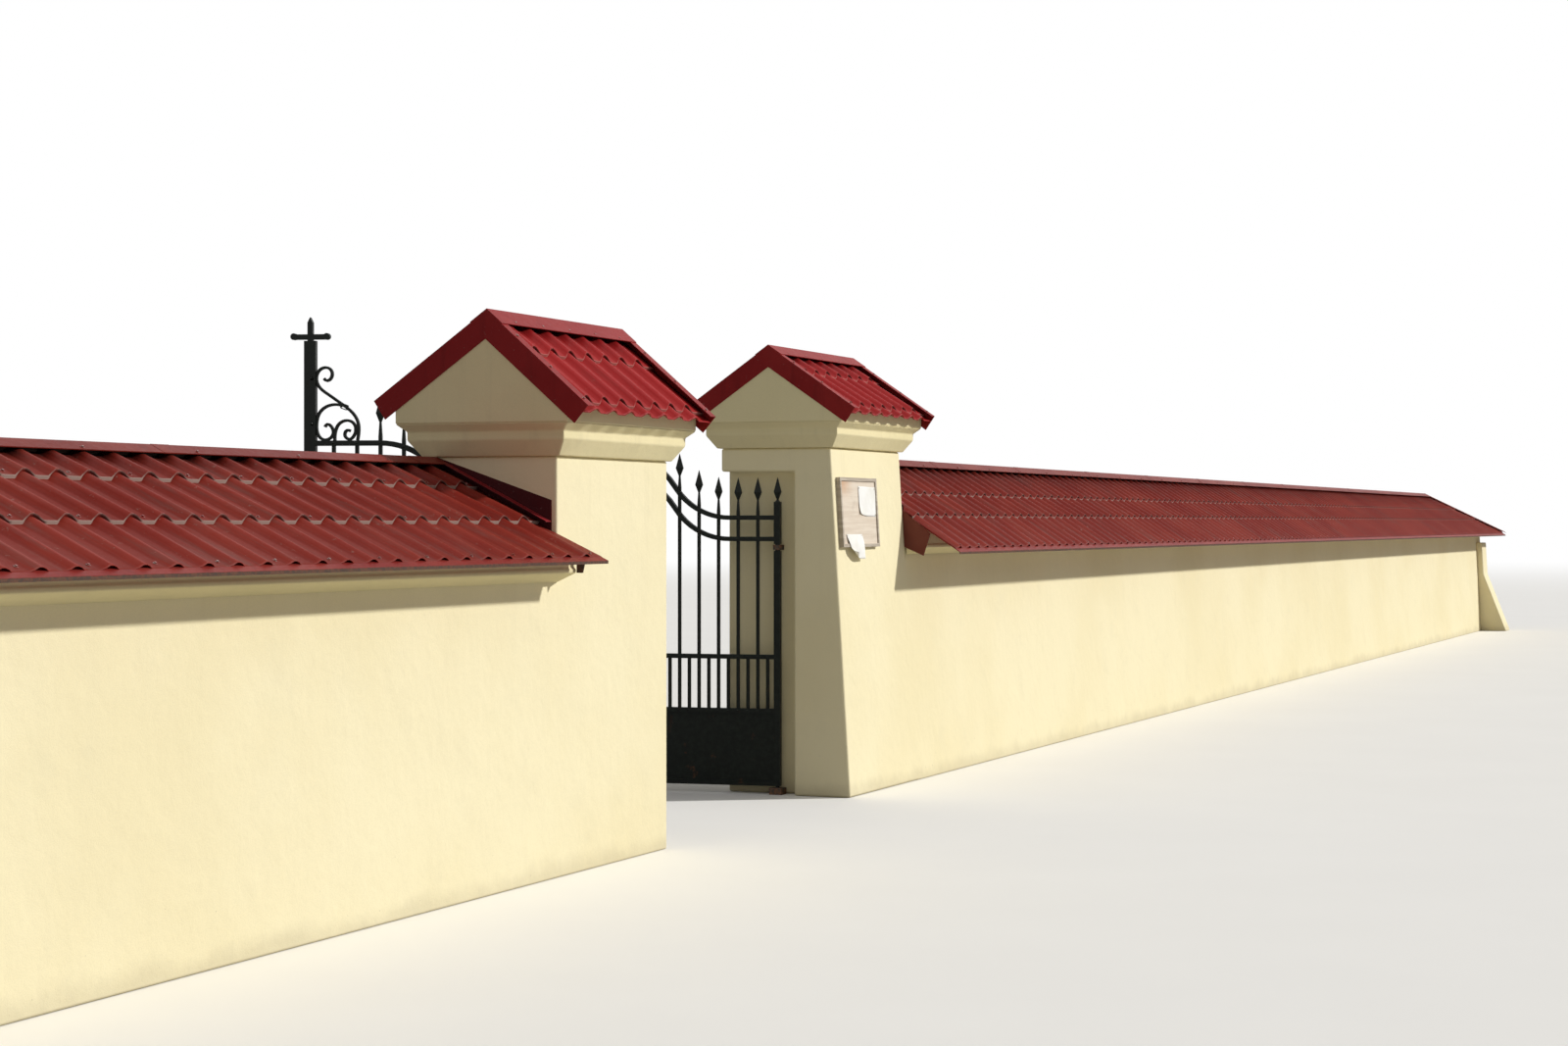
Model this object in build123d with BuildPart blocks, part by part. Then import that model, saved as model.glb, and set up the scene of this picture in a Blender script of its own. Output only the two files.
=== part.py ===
from build123d import *
import os
from math import atan2, cos, hypot, radians, sin, tan

# A rendered masonry yard wall with a two-leaf wrought-iron gate between two roofed piers.
# X runs along the wall, Y goes in through the gateway and Z is up, in millimetres.
# The origin is the middle of the left pier's foot.

# Plan of the wall and the gateway
pier_width = 1200
left_pier_depth = 670
wall_depth = 640
gate_opening = 2650
left_wall_length = 5000
right_wall_length = 25900
front_y = -left_pier_depth / 2
wall_back_y = front_y + wall_depth
left_pier_back_y = front_y + left_pier_depth
right_pier_back_y = front_y + 860
left_pier_x = 0
right_pier_x = left_pier_x + pier_width + gate_opening
left_wall_end_x = left_pier_x - pier_width / 2
right_wall_start_x = right_pier_x + pier_width / 2
right_wall_end_x = right_wall_start_x + right_wall_length

# Batter of the right-hand masonry: how far the foot and the top of its front stand back
batter_foot = 35
right_pier_batter_top = 160
right_wall_batter_top = 125

# Heights of the piers
left_pier_shaft = 1920
right_pier_shaft = 2060
cornice_profile = [(0, 19), (75, 70), (115, 70), (150, 110)]
left_frieze_rise = 252
right_frieze_rise = 233

# Niche in each pier that takes the opened leaf
niche_depth = 116
niche_start_y = 55
left_niche_head = 1900
right_niche_head = 1922

# Pier roofs: how far the ridge is behind the front face, then front and back pitch and overhang
left_pier_ridge_in = 303
right_pier_ridge_in = 350
left_pier_pitches = (40.8, 34.6)
right_pier_pitches = (34.3, 34.3)
left_pier_overhangs = (74, 84)
right_pier_overhangs = (62, 62)
verge_depth = 105
verge_flange = 60
ridge_leg = 66

# Wall roofs: a long front slope and a short back slope
left_eave_y = front_y - 220
left_eave_z = 1450
left_ridge_y = 275
left_ridge_z = 1865
right_eave_y = front_y - 205
right_eave_z = 1445
right_ridge_y = 245
right_ridge_z = 1985
back_eave_y = 525
back_slope_drop = 225
hip_run = 2400
hip_overhang = 200
hip_gap = 50

# Metal tile sheet
sheet_thickness = 4
wave_pitch = 183.3
wave_height = 24
course_length = 350
pier_first_course = 60
course_step = 14
crest = wave_height + course_step + sheet_thickness

# Trims of bent sheet
trim_thickness = 4
eave_apron = 38
eave_trim_drop = 14
trim_end_width = 53
trim_end_drop = 120
flashing_flange = 60
flashing_height = 90
flashing_front_rise = 131
cap_leg = 42

# Plaster cornice under the wall's eaves
band_height = 125
band_flare = 45
band_bead = 8
left_band_reach = 90
right_band_reach = 125

# Plate that closes the end of the long wall's cornice and roof beside the pier
verge_plate_top_z = 1700
verge_plate_eave = (-385, 1550)
verge_plate_foot = (-339, 1409)
verge_plate_back_z = 1464

# Gate leaves
hinge_inset = 50
hinge_y = 180
left_leaf_open = 104
right_leaf_open = 83
leaf_thickness = 34
leaf_foot = 50
stile_width = 40
stile_top_z = 1741
post_width = 61
meeting_gap = 12
picket_gaps = 11
picket_size = 18
rail_height = 27
panel_rail_z = 495
mid_rail_z = 817
top_rail_low_z = 1647
top_rail_high_z = 2020
top_rail_spacing = 127
curve_start = 300
curve_end = 980
curve_pieces = 20
panel_thickness = 4

# Spear heads: heights above the top rail's middle, or above the hinge stile's top
spear_rise = 238
spear_length = 133
spear_widest = 87
spear_width = 44
spear_thickness = 20
neck_size = 10
taper_start = 33
stile_spear_rise = 146
stile_spear_base = (26, 24)

# Scrolls beside the end stiles, as (in from the stile, up from the top rail)
scroll_width = 14
scroll_thickness = 18
scroll_pieces = 4
scroll_shapes = [
    [
        (40, 315), (61, 304), (83, 331), (72, 363), (40, 370), (10, 350), (0, 315), (10, 280),
        (61, 235), (115, 198), (168, 160), (200, 128), (220, 85), (222, 43), (216, 0),
    ],
    [
        (45, 69), (61, 83), (83, 64), (88, 32), (61, 6), (29, 8), (5, 40), (1, 85), (12, 133),
        (45, 168), (88, 182), (136, 176),
    ],
    [
        (179, 48), (156, 48), (150, 24), (174, 6), (199, 27), (207, 62), (190, 92), (154, 101),
        (120, 85), (102, 53), (97, 0),
    ],
]
scroll_stile_top_z = 2425

# Cross on the left leaf's post
post_top_z = 2540
cross_z = 2560
cross_span = 207
cross_tip_z = 2660
cross_size = 27
cross_knob = 34

# Hinges: a pin in a ground socket, and a collar round a turned part of the stile
pin_diameter = 24
journal_diameter = 30
pin_clearance = 0.5
collar_gap = 4
socket_size = 80
socket_height = 40
socket_floor = 6
collar_z = 1455
collar_height = 30
collar_diameter = 56

# Notice board on the right pier
board_width = 620
board_height = 415
board_bottom_z = 1470
board_from_edge = 60
board_thickness = 20
board_rim = 20
board_rim_rise = 8
paper_width = 290
paper_height = 180
paper_thickness = 1
upper_paper = (142, 66, -1.0)
lower_paper = (-60, -213, 2.0)

# Buttress at the wall's far end
buttress_width = 450
buttress_top_z = 1320
buttress_bend_z = 850
buttress_reach = 86
buttress_foot_reach = 370

os.makedirs("parts", exist_ok=True)


def save(block, name):
    """Labels a finished piece and writes it as a STEP file."""
    block.part.label = name
    export_step(block.part, f"parts/{name}.step")


class Roof:
    """A two-sided roof with its ridge along X. Side -1 is the front slope and side 1 the back slope."""

    def __init__(self, ridge_y, ridge_z, front_run, front_drop, back_run, back_drop):
        self.ridge_y = ridge_y
        self.ridge_z = ridge_z
        self.pitch = {-1: atan2(front_drop, front_run), 1: atan2(back_drop, back_run)}
        self.length = {-1: hypot(front_run, front_drop), 1: hypot(back_run, back_drop)}

    def point(self, side, down, out=0.0):
        """The (y, z) of a point so far down the slope from the ridge and so far out from it."""
        pitch = self.pitch[side]
        y = self.ridge_y + side * (down * cos(pitch) + out * sin(pitch))
        return y, self.ridge_z - down * sin(pitch) + out * cos(pitch)

    def apex(self, out=0.0):
        """The (y, z) where the two slopes meet when both are moved out by the same distance."""
        front, back = self.pitch[-1], self.pitch[1]
        shift = out * (1 / cos(back) - 1 / cos(front)) / (tan(front) + tan(back))
        return self.ridge_y + shift, self.ridge_z + tan(front) * shift + out / cos(front)

    def over(self, y, out=0.0):
        """The height over y of the slope there, moved out by a distance."""
        pitch = self.pitch[-1 if y < self.ridge_y else 1]
        return self.ridge_z - abs(y - self.ridge_y) * tan(pitch) + out / cos(pitch)


def ridge_band(roof, leg_front, leg_back, low, high):
    """The outline of a band bent over the ridge, from low to high above the slopes."""
    return [
        roof.point(-1, leg_front, high),
        roof.apex(high),
        roof.point(1, leg_back, high),
        roof.point(1, leg_back, low),
        roof.apex(low),
        roof.point(-1, leg_front, low),
    ]


def wave_line(width):
    """The points of a waved sheet's cross line, from edge to edge, as (along, height)."""
    shape = [(0.0, 0.0), (0.36, 0.0), (0.52, 0.42), (0.68, 0.92), (0.77, 1.0), (0.87, 0.65)]
    count = int(width // wave_pitch)
    first = -count * wave_pitch / 2
    line = [(first + (n + a) * wave_pitch, h * wave_height) for n in range(count) for a, h in shape]
    line.append((first + count * wave_pitch, 0))
    rest = width / 2 + first
    return [(-width / 2, 0)] * (rest > 1) + line + [(width / 2, 0)] * (rest > 1)


def courses(length, first, top_gap):
    """The distances down the slope of each course's lower and upper end, from the eave up."""
    under, step = length, first
    while under > top_gap + 1:
        upper = max(under - step, top_gap)
        yield under, upper
        under, step = upper, course_length


def sheet_course(low, high, across, line, thickness, has_riser):
    """Adds one sloping course to the part being built. A riser closes its lower end down to the next course."""
    course = Vector(*high) - Vector(*low)
    start = Plane(origin=low, x_dir=across, z_dir=course)
    drop = course_step * course.length / course_length
    top = [(a, h + thickness) for a, h in line]
    with BuildSketch(start) as section:
        with BuildLine():
            Polyline(*line, *reversed(top), close=True)
        make_face()
    extrude(section.sketch, amount=course.length)
    if has_riser:
        lower = [(a, h - drop + thickness / 2) for a, h in line]
        with BuildSketch(start) as riser:
            with BuildLine():
                Polyline(*lower, *reversed(top), close=True)
            make_face()
        extrude(riser.sketch, amount=sheet_thickness)


def tile_sheet(roof, side, start_x, end_x, line, thickness, first=course_length, cutters=()):
    """A stepped metal tile sheet on one slope, from its eave up to the ridge."""
    middle_x = (start_x + end_x) / 2
    with BuildPart() as sheet:
        for under, upper in courses(roof.length[side], first, 2 * course_step):
            drop = course_step * (under - upper) / course_length
            low = (middle_x, *roof.point(side, under, drop))
            high = (middle_x, *roof.point(side, upper, 0))
            sheet_course(low, high, (side, 0, 0), line, thickness, under < roof.length[side])
        for cutter in cutters:
            add(cutter.part, mode=Mode.SUBTRACT)
    return sheet


def prism(outline, start_x, end_x, cutters=()):
    """A solid with a (y, z) outline that runs along X."""
    with BuildPart() as solid:
        with BuildSketch(Plane.YZ.offset(start_x)):
            with BuildLine():
                Polyline(*outline, close=True)
            make_face()
        extrude(amount=end_x - start_x)
        for cutter in cutters:
            add(cutter.part, mode=Mode.SUBTRACT)
    return solid


def make_pier(name, centre_x, faces, shaft, niche_head, gate_side, frieze_rise, ridge_in, pitches, eaves):
    """A pier's shaft, cornice and gable block with its roof. Faces holds its front's y at the foot and
    at the top, and its back's y. gate_side is 1 where the gate is on its right."""
    foot_y, top_y, back_y = faces
    gate_x = centre_x + gate_side * pier_width / 2
    with BuildPart() as pier:
        with BuildSketch(Plane.YZ.offset(centre_x - pier_width / 2)):
            with BuildLine():
                Polyline((foot_y, 0), (back_y, 0), (back_y, shaft), (top_y, shaft), close=True)
            make_face()
        extrude(amount=pier_width)
        with BuildSketch(Plane.XY):
            with Locations((gate_x, (niche_start_y + back_y) / 2)):
                Rectangle(2 * niche_depth, back_y - niche_start_y)
        extrude(amount=niche_head, mode=Mode.SUBTRACT)
    save(pier, f"{name}_pier")

    middle_y = (top_y + back_y) / 2
    top_depth = back_y - top_y
    with BuildPart() as cornice:
        for rise, reach in cornice_profile:
            with BuildSketch(Plane.XY.offset(shaft + rise)):
                with Locations((centre_x, middle_y)):
                    Rectangle(pier_width + 2 * reach, top_depth + 2 * reach)
        loft(ruled=True)
    save(cornice, f"{name}_pier_cornice")

    cornice_rise, frieze_reach = cornice_profile[-1]
    frieze_z = shaft + cornice_rise
    front = top_y - frieze_reach
    rear = back_y + frieze_reach
    ridge_y = top_y + ridge_in
    front_slope, back_slope = [tan(radians(pitch)) for pitch in pitches]
    ridge_z = shaft + frieze_rise + (ridge_y - front) * front_slope
    front_run = ridge_y - front + eaves[0]
    back_run = rear - ridge_y + eaves[1]
    roof = Roof(ridge_y, ridge_z, front_run, front_run * front_slope, back_run, back_run * back_slope)
    left_edge = centre_x - pier_width / 2 - frieze_reach
    right_edge = centre_x + pier_width / 2 + frieze_reach
    outline = [
        (front, frieze_z),
        (rear, frieze_z),
        (rear, roof.over(rear)),
        (ridge_y, ridge_z),
        (front, roof.over(front)),
    ]
    save(prism(outline, left_edge, right_edge), f"{name}_pier_gable")

    line = wave_line(right_edge - left_edge)
    for side, where in ((-1, "front"), (1, "back")):
        sheet = tile_sheet(roof, side, left_edge, right_edge, line, sheet_thickness, pier_first_course)
        save(sheet, f"{name}_pier_roof_{where}")

    legs = roof.length[-1], roof.length[1]
    flange_top = crest + trim_thickness
    with BuildPart() as verges:
        for edge, end in ((left_edge, -1), (right_edge, 1)):
            outer = edge + end * trim_thickness
            with BuildSketch(Plane.YZ.offset(edge)):
                with BuildLine():
                    Polyline(*ridge_band(roof, *legs, flange_top - verge_depth, crest), close=True)
                make_face()
            extrude(amount=end * trim_thickness)
            with BuildSketch(Plane.YZ.offset(outer)):
                with BuildLine():
                    Polyline(*ridge_band(roof, *legs, crest, flange_top), close=True)
                make_face()
            extrude(amount=-end * (verge_flange + trim_thickness))
    save(verges, f"{name}_pier_verges")
    cap = ridge_band(roof, ridge_leg, ridge_leg, flange_top, flange_top + trim_thickness)
    save(prism(cap, left_edge - trim_thickness, right_edge + trim_thickness), f"{name}_pier_ridge_cap")


make_pier(
    "left",
    left_pier_x,
    (front_y, front_y, left_pier_back_y),
    left_pier_shaft,
    left_niche_head,
    1,
    left_frieze_rise,
    left_pier_ridge_in,
    left_pier_pitches,
    left_pier_overhangs,
)
make_pier(
    "right",
    right_pier_x,
    (front_y + batter_foot, front_y + right_pier_batter_top, right_pier_back_y),
    right_pier_shaft,
    right_niche_head,
    -1,
    right_frieze_rise,
    right_pier_ridge_in,
    right_pier_pitches,
    right_pier_overhangs,
)


def eave_outline(pitch, reach):
    """A drip trim as (in from the eave, up from the eave): a flange, an apron past the sheet and a lip."""

    def at(along, out):
        return along * cos(pitch) - out * sin(pitch), along * sin(pitch) + out * cos(pitch)

    end_lift = course_step * (1 - reach / course_length)
    lip, lip_top = at(-eave_apron, course_step)
    return [
        (lip, lip_top),
        at(0, course_step),
        at(reach, end_lift),
        at(reach, end_lift - trim_thickness),
        at(0, course_step - trim_thickness),
        at(trim_thickness * (1 - sin(pitch)) / cos(pitch) - eave_apron, course_step - trim_thickness),
        (lip + trim_thickness, lip_top - eave_trim_drop),
        (lip, lip_top - eave_trim_drop),
    ]


def make_wall(name, start_x, end_x, roof_end_x, faces, reach, roof, cutters):
    """A wall's core, cornice bands and roof. Faces holds its front face's y at the foot and at the top."""
    foot_y, top_y = faces
    top_z = roof.over(top_y)

    def face_y(z):
        return foot_y + (top_y - foot_y) * z / top_z

    outline = [
        (foot_y, 0),
        (wall_back_y, 0),
        (wall_back_y, roof.over(wall_back_y)),
        (roof.ridge_y, roof.ridge_z),
        (top_y, top_z),
    ]
    above_hip = cutters[:1]
    save(prism(outline, start_x, end_x, above_hip), f"{name}_wall")

    line = [((start_x - roof_end_x) / 2, 0), ((roof_end_x - start_x) / 2, 0)]
    for side, where in ((-1, "front"), (1, "back")):
        slab = wave_height + sheet_thickness
        sheet = tile_sheet(roof, side, start_x, roof_end_x, line, slab, cutters=cutters[1:])
        save(sheet, f"{name}_wall_roof_{where}")

    front = top_y - reach
    rear = wall_back_y + left_band_reach
    with BuildPart() as bands:
        for wall_y, band_y, side in ((top_y, front, -1), (wall_back_y, rear, 1)):
            edge = roof.over(band_y) - band_height
            root = edge - band_flare
            root_y = face_y(root) if side < 0 else wall_y
            with BuildSketch(Plane.YZ.offset(start_x)):
                with BuildLine():
                    Polyline(
                        (root_y, root),
                        (band_y + side * band_bead, edge),
                        (band_y + side * band_bead, edge + 2 * band_bead),
                        (band_y, edge + 3 * band_bead),
                        (band_y, roof.over(band_y)),
                        (wall_y, roof.over(wall_y)),
                        close=True,
                    )
                make_face()
            extrude(amount=end_x - start_x)
        for cutter in above_hip:
            add(cutter.part, mode=Mode.SUBTRACT)
    return bands, face_y


def roof_of(eave_y, eave_z, ridge_y, ridge_z):
    """A wall's roof from its front eave, its ridge and the common back slope."""
    return Roof(ridge_y, ridge_z, ridge_y - eave_y, ridge_z - eave_z, back_eave_y - ridge_y, back_slope_drop)


left_roof = roof_of(left_eave_y, left_eave_z, left_ridge_y, left_ridge_z)
left_wall_start_x = left_wall_end_x - left_wall_length
left_bands = make_wall(
    "left",
    left_wall_start_x,
    left_wall_end_x,
    left_wall_end_x,
    (front_y, front_y),
    left_band_reach,
    left_roof,
    (),
)[0]
save(left_bands, "left_wall_cornice")
low, high = crest, crest + trim_thickness
left_cap = ridge_band(left_roof, cap_leg, cap_leg, low, high)
save(prism(left_cap, left_wall_start_x, left_wall_end_x - trim_thickness), "left_wall_ridge_cap")

# The long wall's far end: a hip slope from the ridge down to the end's eave
right_roof = roof_of(right_eave_y, right_eave_z, right_ridge_y, right_ridge_z)
hip_end_x = right_wall_end_x + hip_overhang
hip_top_x = hip_end_x - hip_run
hip_drop = right_ridge_z - right_eave_z
hip_pitch = atan2(hip_drop, hip_run)
hip_back_run = hip_run * back_slope_drop / hip_drop
stretch = 1.3
beyond = 900
with BuildPart() as over_hip:
    with BuildSketch(Plane.XZ):
        with BuildLine():
            Polyline(
                (hip_top_x, right_ridge_z),
                (hip_top_x + stretch * hip_run, right_ridge_z - stretch * hip_drop),
                (hip_top_x + stretch * hip_run, right_ridge_z + beyond),
                (hip_top_x, right_ridge_z + beyond),
                close=True,
            )
        make_face()
    extrude(amount=2 * beyond, both=True)
hip_front_y = right_ridge_y + stretch * (right_eave_y - right_ridge_y)
hip_back_y = right_ridge_y + stretch * (back_eave_y - right_ridge_y)


def hip_region(head_x):
    """The upright block over the hip slope's plan, with the hip lines' meeting point at head_x."""
    with BuildPart() as region:
        with BuildSketch(Plane.XY.offset(right_eave_z - beyond)):
            with BuildLine():
                Polyline(
                    (head_x, right_ridge_y),
                    (head_x + stretch * hip_run, hip_front_y),
                    (hip_end_x + beyond + stretch * hip_gap, hip_front_y),
                    (hip_end_x + beyond + stretch * hip_gap, hip_back_y),
                    (head_x + stretch * hip_back_run, hip_back_y),
                    close=True,
                )
            make_face()
        extrude(amount=3 * beyond)
    return region


hip_plan = hip_region(hip_top_x)
hip_cut = hip_region(hip_top_x - hip_gap)

right_bands, right_face_y = make_wall(
    "right",
    right_wall_start_x,
    right_wall_end_x,
    hip_end_x,
    (front_y + batter_foot, front_y + right_wall_batter_top),
    right_band_reach,
    right_roof,
    (over_hip, hip_cut),
)

# The long wall's cornice turns round its end
end_front = front_y + right_wall_batter_top - right_band_reach
end_edge = right_roof.over(end_front) - band_height
with BuildPart() as end_band:
    with BuildSketch(Plane.XZ.offset(-end_front)):
        with BuildLine():
            Polyline(
                (right_wall_end_x, end_edge - band_flare),
                (right_wall_end_x + right_band_reach + band_bead, end_edge),
                (right_wall_end_x + right_band_reach + band_bead, end_edge + 2 * band_bead),
                (right_wall_end_x + right_band_reach, end_edge + 3 * band_bead),
                (right_wall_end_x + right_band_reach, right_ridge_z),
                (right_wall_end_x, right_ridge_z),
                close=True,
            )
        make_face()
    extrude(amount=-(wall_back_y - end_front))
    add(over_hip.part, mode=Mode.SUBTRACT)
    add(right_bands.part)
save(end_band, "right_wall_cornice")

with BuildPart() as hip_sheet:
    width = back_eave_y - right_eave_y
    middle_y = (back_eave_y + right_eave_y) / 2
    length = hypot(hip_run, hip_drop)
    for under, upper in courses(length, course_length, 2 * course_step):
        drop = course_step * (under - upper) / course_length
        low_x = hip_top_x + under * cos(hip_pitch) + drop * sin(hip_pitch)
        low_z = right_ridge_z - under * sin(hip_pitch) + drop * cos(hip_pitch)
        high_x = hip_top_x + upper * cos(hip_pitch)
        high_z = right_ridge_z - upper * sin(hip_pitch)
        line = [(-width / 2, 0), (width / 2, 0)]
        low = (low_x, middle_y, low_z)
        high = (high_x, middle_y, high_z)
        sheet_course(low, high, (0, -1, 0), line, wave_height + sheet_thickness, under < length)
    add(hip_plan.part, mode=Mode.INTERSECT)
save(hip_sheet, "right_wall_roof_hip")

# Ridge and hip caps
hip_normal = Vector(sin(hip_pitch), 0, cos(hip_pitch))
hip_head = Vector(hip_top_x, right_ridge_y, right_ridge_z)
cap_start_x = right_wall_start_x + trim_thickness
with BuildPart() as right_cap:
    with BuildSketch(Plane.YZ.offset(cap_start_x)):
        with BuildLine():
            Polyline(*ridge_band(right_roof, cap_leg, cap_leg, crest, crest + trim_thickness), close=True)
        make_face()
    extrude(amount=hip_top_x - cap_start_x)
    for side, foot in (
        (-1, Vector(hip_end_x, right_eave_y, right_eave_z)),
        (1, Vector(hip_top_x + hip_back_run, back_eave_y, right_ridge_z - back_slope_drop)),
    ):
        pitch = right_roof.pitch[side]
        normal = Vector(0, side * sin(pitch), cos(pitch))
        course = foot - hip_head
        along = course.normalized()
        cut = Plane(origin=hip_head, x_dir=normal, z_dir=along)
        share = 1 + normal.dot(hip_normal)
        hip_leg = along.cross(hip_normal) * side * cap_leg
        slope_leg = along.cross(normal) * -side * cap_leg
        outline = []
        for out, legs in ((crest, (slope_leg, hip_leg)), (crest + trim_thickness, (hip_leg, slope_leg))):
            middle = (normal + hip_normal) * (out / share)
            outline += [middle + legs[0], middle, middle + legs[1]]
        with BuildSketch(cut):
            with BuildLine():
                Polyline(*[(v.dot(cut.x_dir), v.dot(cut.y_dir)) for v in outline], close=True)
            make_face()
        extrude(amount=course.length)
save(right_cap, "right_wall_ridge_cap")

# Drip trims under the front eaves, and round the hip's end
left_reach = (front_y - left_band_reach - trim_thickness - left_eave_y) / cos(left_roof.pitch[-1])
outline = [(left_eave_y + a, left_eave_z + b) for a, b in eave_outline(left_roof.pitch[-1], left_reach)]
with BuildPart() as left_trim:
    with BuildSketch(Plane.YZ.offset(left_wall_start_x)):
        with BuildLine():
            Polyline(*outline, close=True)
        make_face()
    extrude(amount=left_wall_length)
    with BuildSketch(Plane.YZ.offset(left_wall_end_x - trim_thickness)):
        with BuildLine():
            tab_y = front_y - left_band_reach - band_bead - trim_thickness
            tab_z = left_eave_z + (tab_y - left_eave_y) * tan(left_roof.pitch[-1])
            Polyline(
                (tab_y, tab_z),
                (tab_y - trim_end_width, tab_z - trim_end_width * tan(left_roof.pitch[-1])),
                (tab_y - trim_end_width * 0.6, tab_z - trim_end_drop),
                (tab_y, tab_z - trim_end_drop),
                close=True,
            )
        make_face()
    extrude(amount=trim_thickness)
save(left_trim, "left_wall_eave_trim")

right_reach = (end_front - trim_thickness - right_eave_y) / cos(right_roof.pitch[-1])
end_reach = (hip_overhang - right_band_reach - trim_thickness) / cos(hip_pitch)
with BuildPart() as right_trim:
    with BuildSketch(Plane.YZ.offset(right_wall_start_x)):
        with BuildLine():
            lip = eave_outline(right_roof.pitch[-1], right_reach)
            Polyline(*[(right_eave_y + a, right_eave_z + b) for a, b in lip], close=True)
        make_face()
    extrude(amount=hip_end_x - right_wall_start_x)
    add(hip_cut.part, mode=Mode.SUBTRACT)
with BuildPart() as end_trim:
    with BuildSketch(Plane.XZ.offset(-right_eave_y)):
        with BuildLine():
            lip = eave_outline(hip_pitch, end_reach)
            Polyline(*[(hip_end_x - a, right_eave_z + b) for a, b in lip], close=True)
        make_face()
    extrude(amount=-(back_eave_y - right_eave_y))
    add(hip_plan.part, mode=Mode.INTERSECT)
    add(right_trim.part)
save(end_trim, "right_wall_eave_trim")


def make_flashing(name, roof, pier_x, end, front, back, top_z):
    """The upstand plate and flanges that close a wall's roof against a pier's side."""
    flange_top = crest + trim_thickness
    with BuildPart() as flashing:
        with BuildSketch(Plane.YZ.offset(pier_x)):
            with BuildLine():
                Polyline(
                    (front, roof.over(front, crest)),
                    roof.apex(crest),
                    (back, roof.over(back, crest)),
                    (back, min(roof.over(back, crest) + flashing_height, top_z)),
                    (roof.ridge_y, top_z),
                    (front, roof.over(front, flashing_front_rise)),
                    close=True,
                )
            make_face()
        extrude(amount=end * trim_thickness)
        for side, limit in ((-1, front), (1, back)):
            near = roof.point(side, cap_leg + trim_thickness, crest)[0]
            if side * (limit - near) > trim_thickness:
                with BuildSketch(Plane.YZ.offset(pier_x)):
                    with BuildLine():
                        Polyline(
                            (near, roof.over(near, crest)),
                            (limit, roof.over(limit, crest)),
                            (limit, roof.over(limit, flange_top)),
                            (near, roof.over(near, flange_top)),
                            close=True,
                        )
                    make_face()
                extrude(amount=end * flashing_flange)
    save(flashing, f"{name}_wall_flashing")


def pier_face_y(z):
    """The y of the right pier's front face at a height."""
    return front_y + batter_foot + (right_pier_batter_top - batter_foot) * z / right_pier_shaft


make_flashing(
    "left",
    left_roof,
    left_wall_end_x,
    -1,
    front_y + 26,
    left_pier_back_y,
    left_pier_shaft - trim_thickness,
)
make_flashing(
    "right",
    right_roof,
    right_wall_start_x,
    1,
    pier_face_y(right_eave_z) + 26,
    right_pier_back_y,
    right_pier_shaft - trim_thickness,
)

plate = [
    (pier_face_y(verge_plate_top_z), verge_plate_top_z),
    verge_plate_eave,
    verge_plate_foot,
    (pier_face_y(verge_plate_back_z), verge_plate_back_z),
]
save(prism(plate, right_wall_start_x - trim_thickness, right_wall_start_x), "right_wall_verge")

buttress = [
    (right_face_y(0), 0),
    (right_face_y(buttress_top_z), buttress_top_z),
    (right_face_y(buttress_top_z) - buttress_reach, buttress_top_z),
    (right_face_y(buttress_bend_z) - buttress_reach, buttress_bend_z),
    (right_face_y(0) - buttress_foot_reach, 0),
]
save(prism(buttress, right_wall_end_x - buttress_width, right_wall_end_x), "right_wall_buttress")

# Notice board, which leans with the pier's battered face
lean = atan2(right_pier_batter_top - batter_foot, right_pier_shaft)
board_x = right_pier_x - pier_width / 2 + board_from_edge + board_width / 2
board_z = (board_bottom_z + board_height / 2) / cos(lean)
out = (0, -cos(lean), sin(lean))
board_face = Plane(origin=(board_x, front_y + batter_foot, 0), x_dir=(1, 0, 0), z_dir=out)
with BuildPart() as board:
    with BuildSketch(board_face):
        with Locations((0, board_z)):
            Rectangle(board_width, board_height)
    extrude(amount=board_thickness)
    with BuildSketch(board_face.offset(board_thickness)):
        with Locations((0, board_z)):
            Rectangle(board_width, board_height)
            Rectangle(board_width - 2 * board_rim, board_height - 2 * board_rim, mode=Mode.SUBTRACT)
    extrude(amount=board_rim_rise)
save(board, "notice_board")
with BuildPart() as sheets:
    for (u, v, turn), out in ((upper_paper, 0), (lower_paper, board_rim_rise)):
        with BuildSketch(board_face.offset(board_thickness + out)):
            with Locations(Location((u, board_z + v, 0), (0, 0, turn))):
                Rectangle(paper_width, paper_height)
        extrude(amount=paper_thickness)
save(sheets, "notice_sheets")


def rail_height_at(u):
    """Height of the upper top rail's middle at a distance u from the hinge axis."""
    half_run = (curve_end - curve_start) / 2
    half_rise = (top_rail_high_z - top_rail_low_z) / 2
    radius = (half_run**2 + half_rise**2) / (2 * half_rise)
    if u <= curve_start:
        return top_rail_low_z
    if u >= curve_end:
        return top_rail_high_z
    if u <= curve_start + half_run:
        return top_rail_low_z + radius - (radius**2 - (u - curve_start) ** 2) ** 0.5
    return top_rail_high_z - radius + (radius**2 - (curve_end - u) ** 2) ** 0.5


left_hinge_x = left_pier_x + pier_width / 2 - hinge_inset
right_hinge_x = right_pier_x - pier_width / 2 + hinge_inset
leaf_reach = (right_hinge_x - left_hinge_x - meeting_gap - post_width / 2 - stile_width / 2) / 2
picket_pitch = leaf_reach / picket_gaps
picket_places = [picket_pitch * n for n in range(1, picket_gaps)]
dog_places = [picket_pitch * (n + 0.5) for n in range(picket_gaps)]


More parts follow.
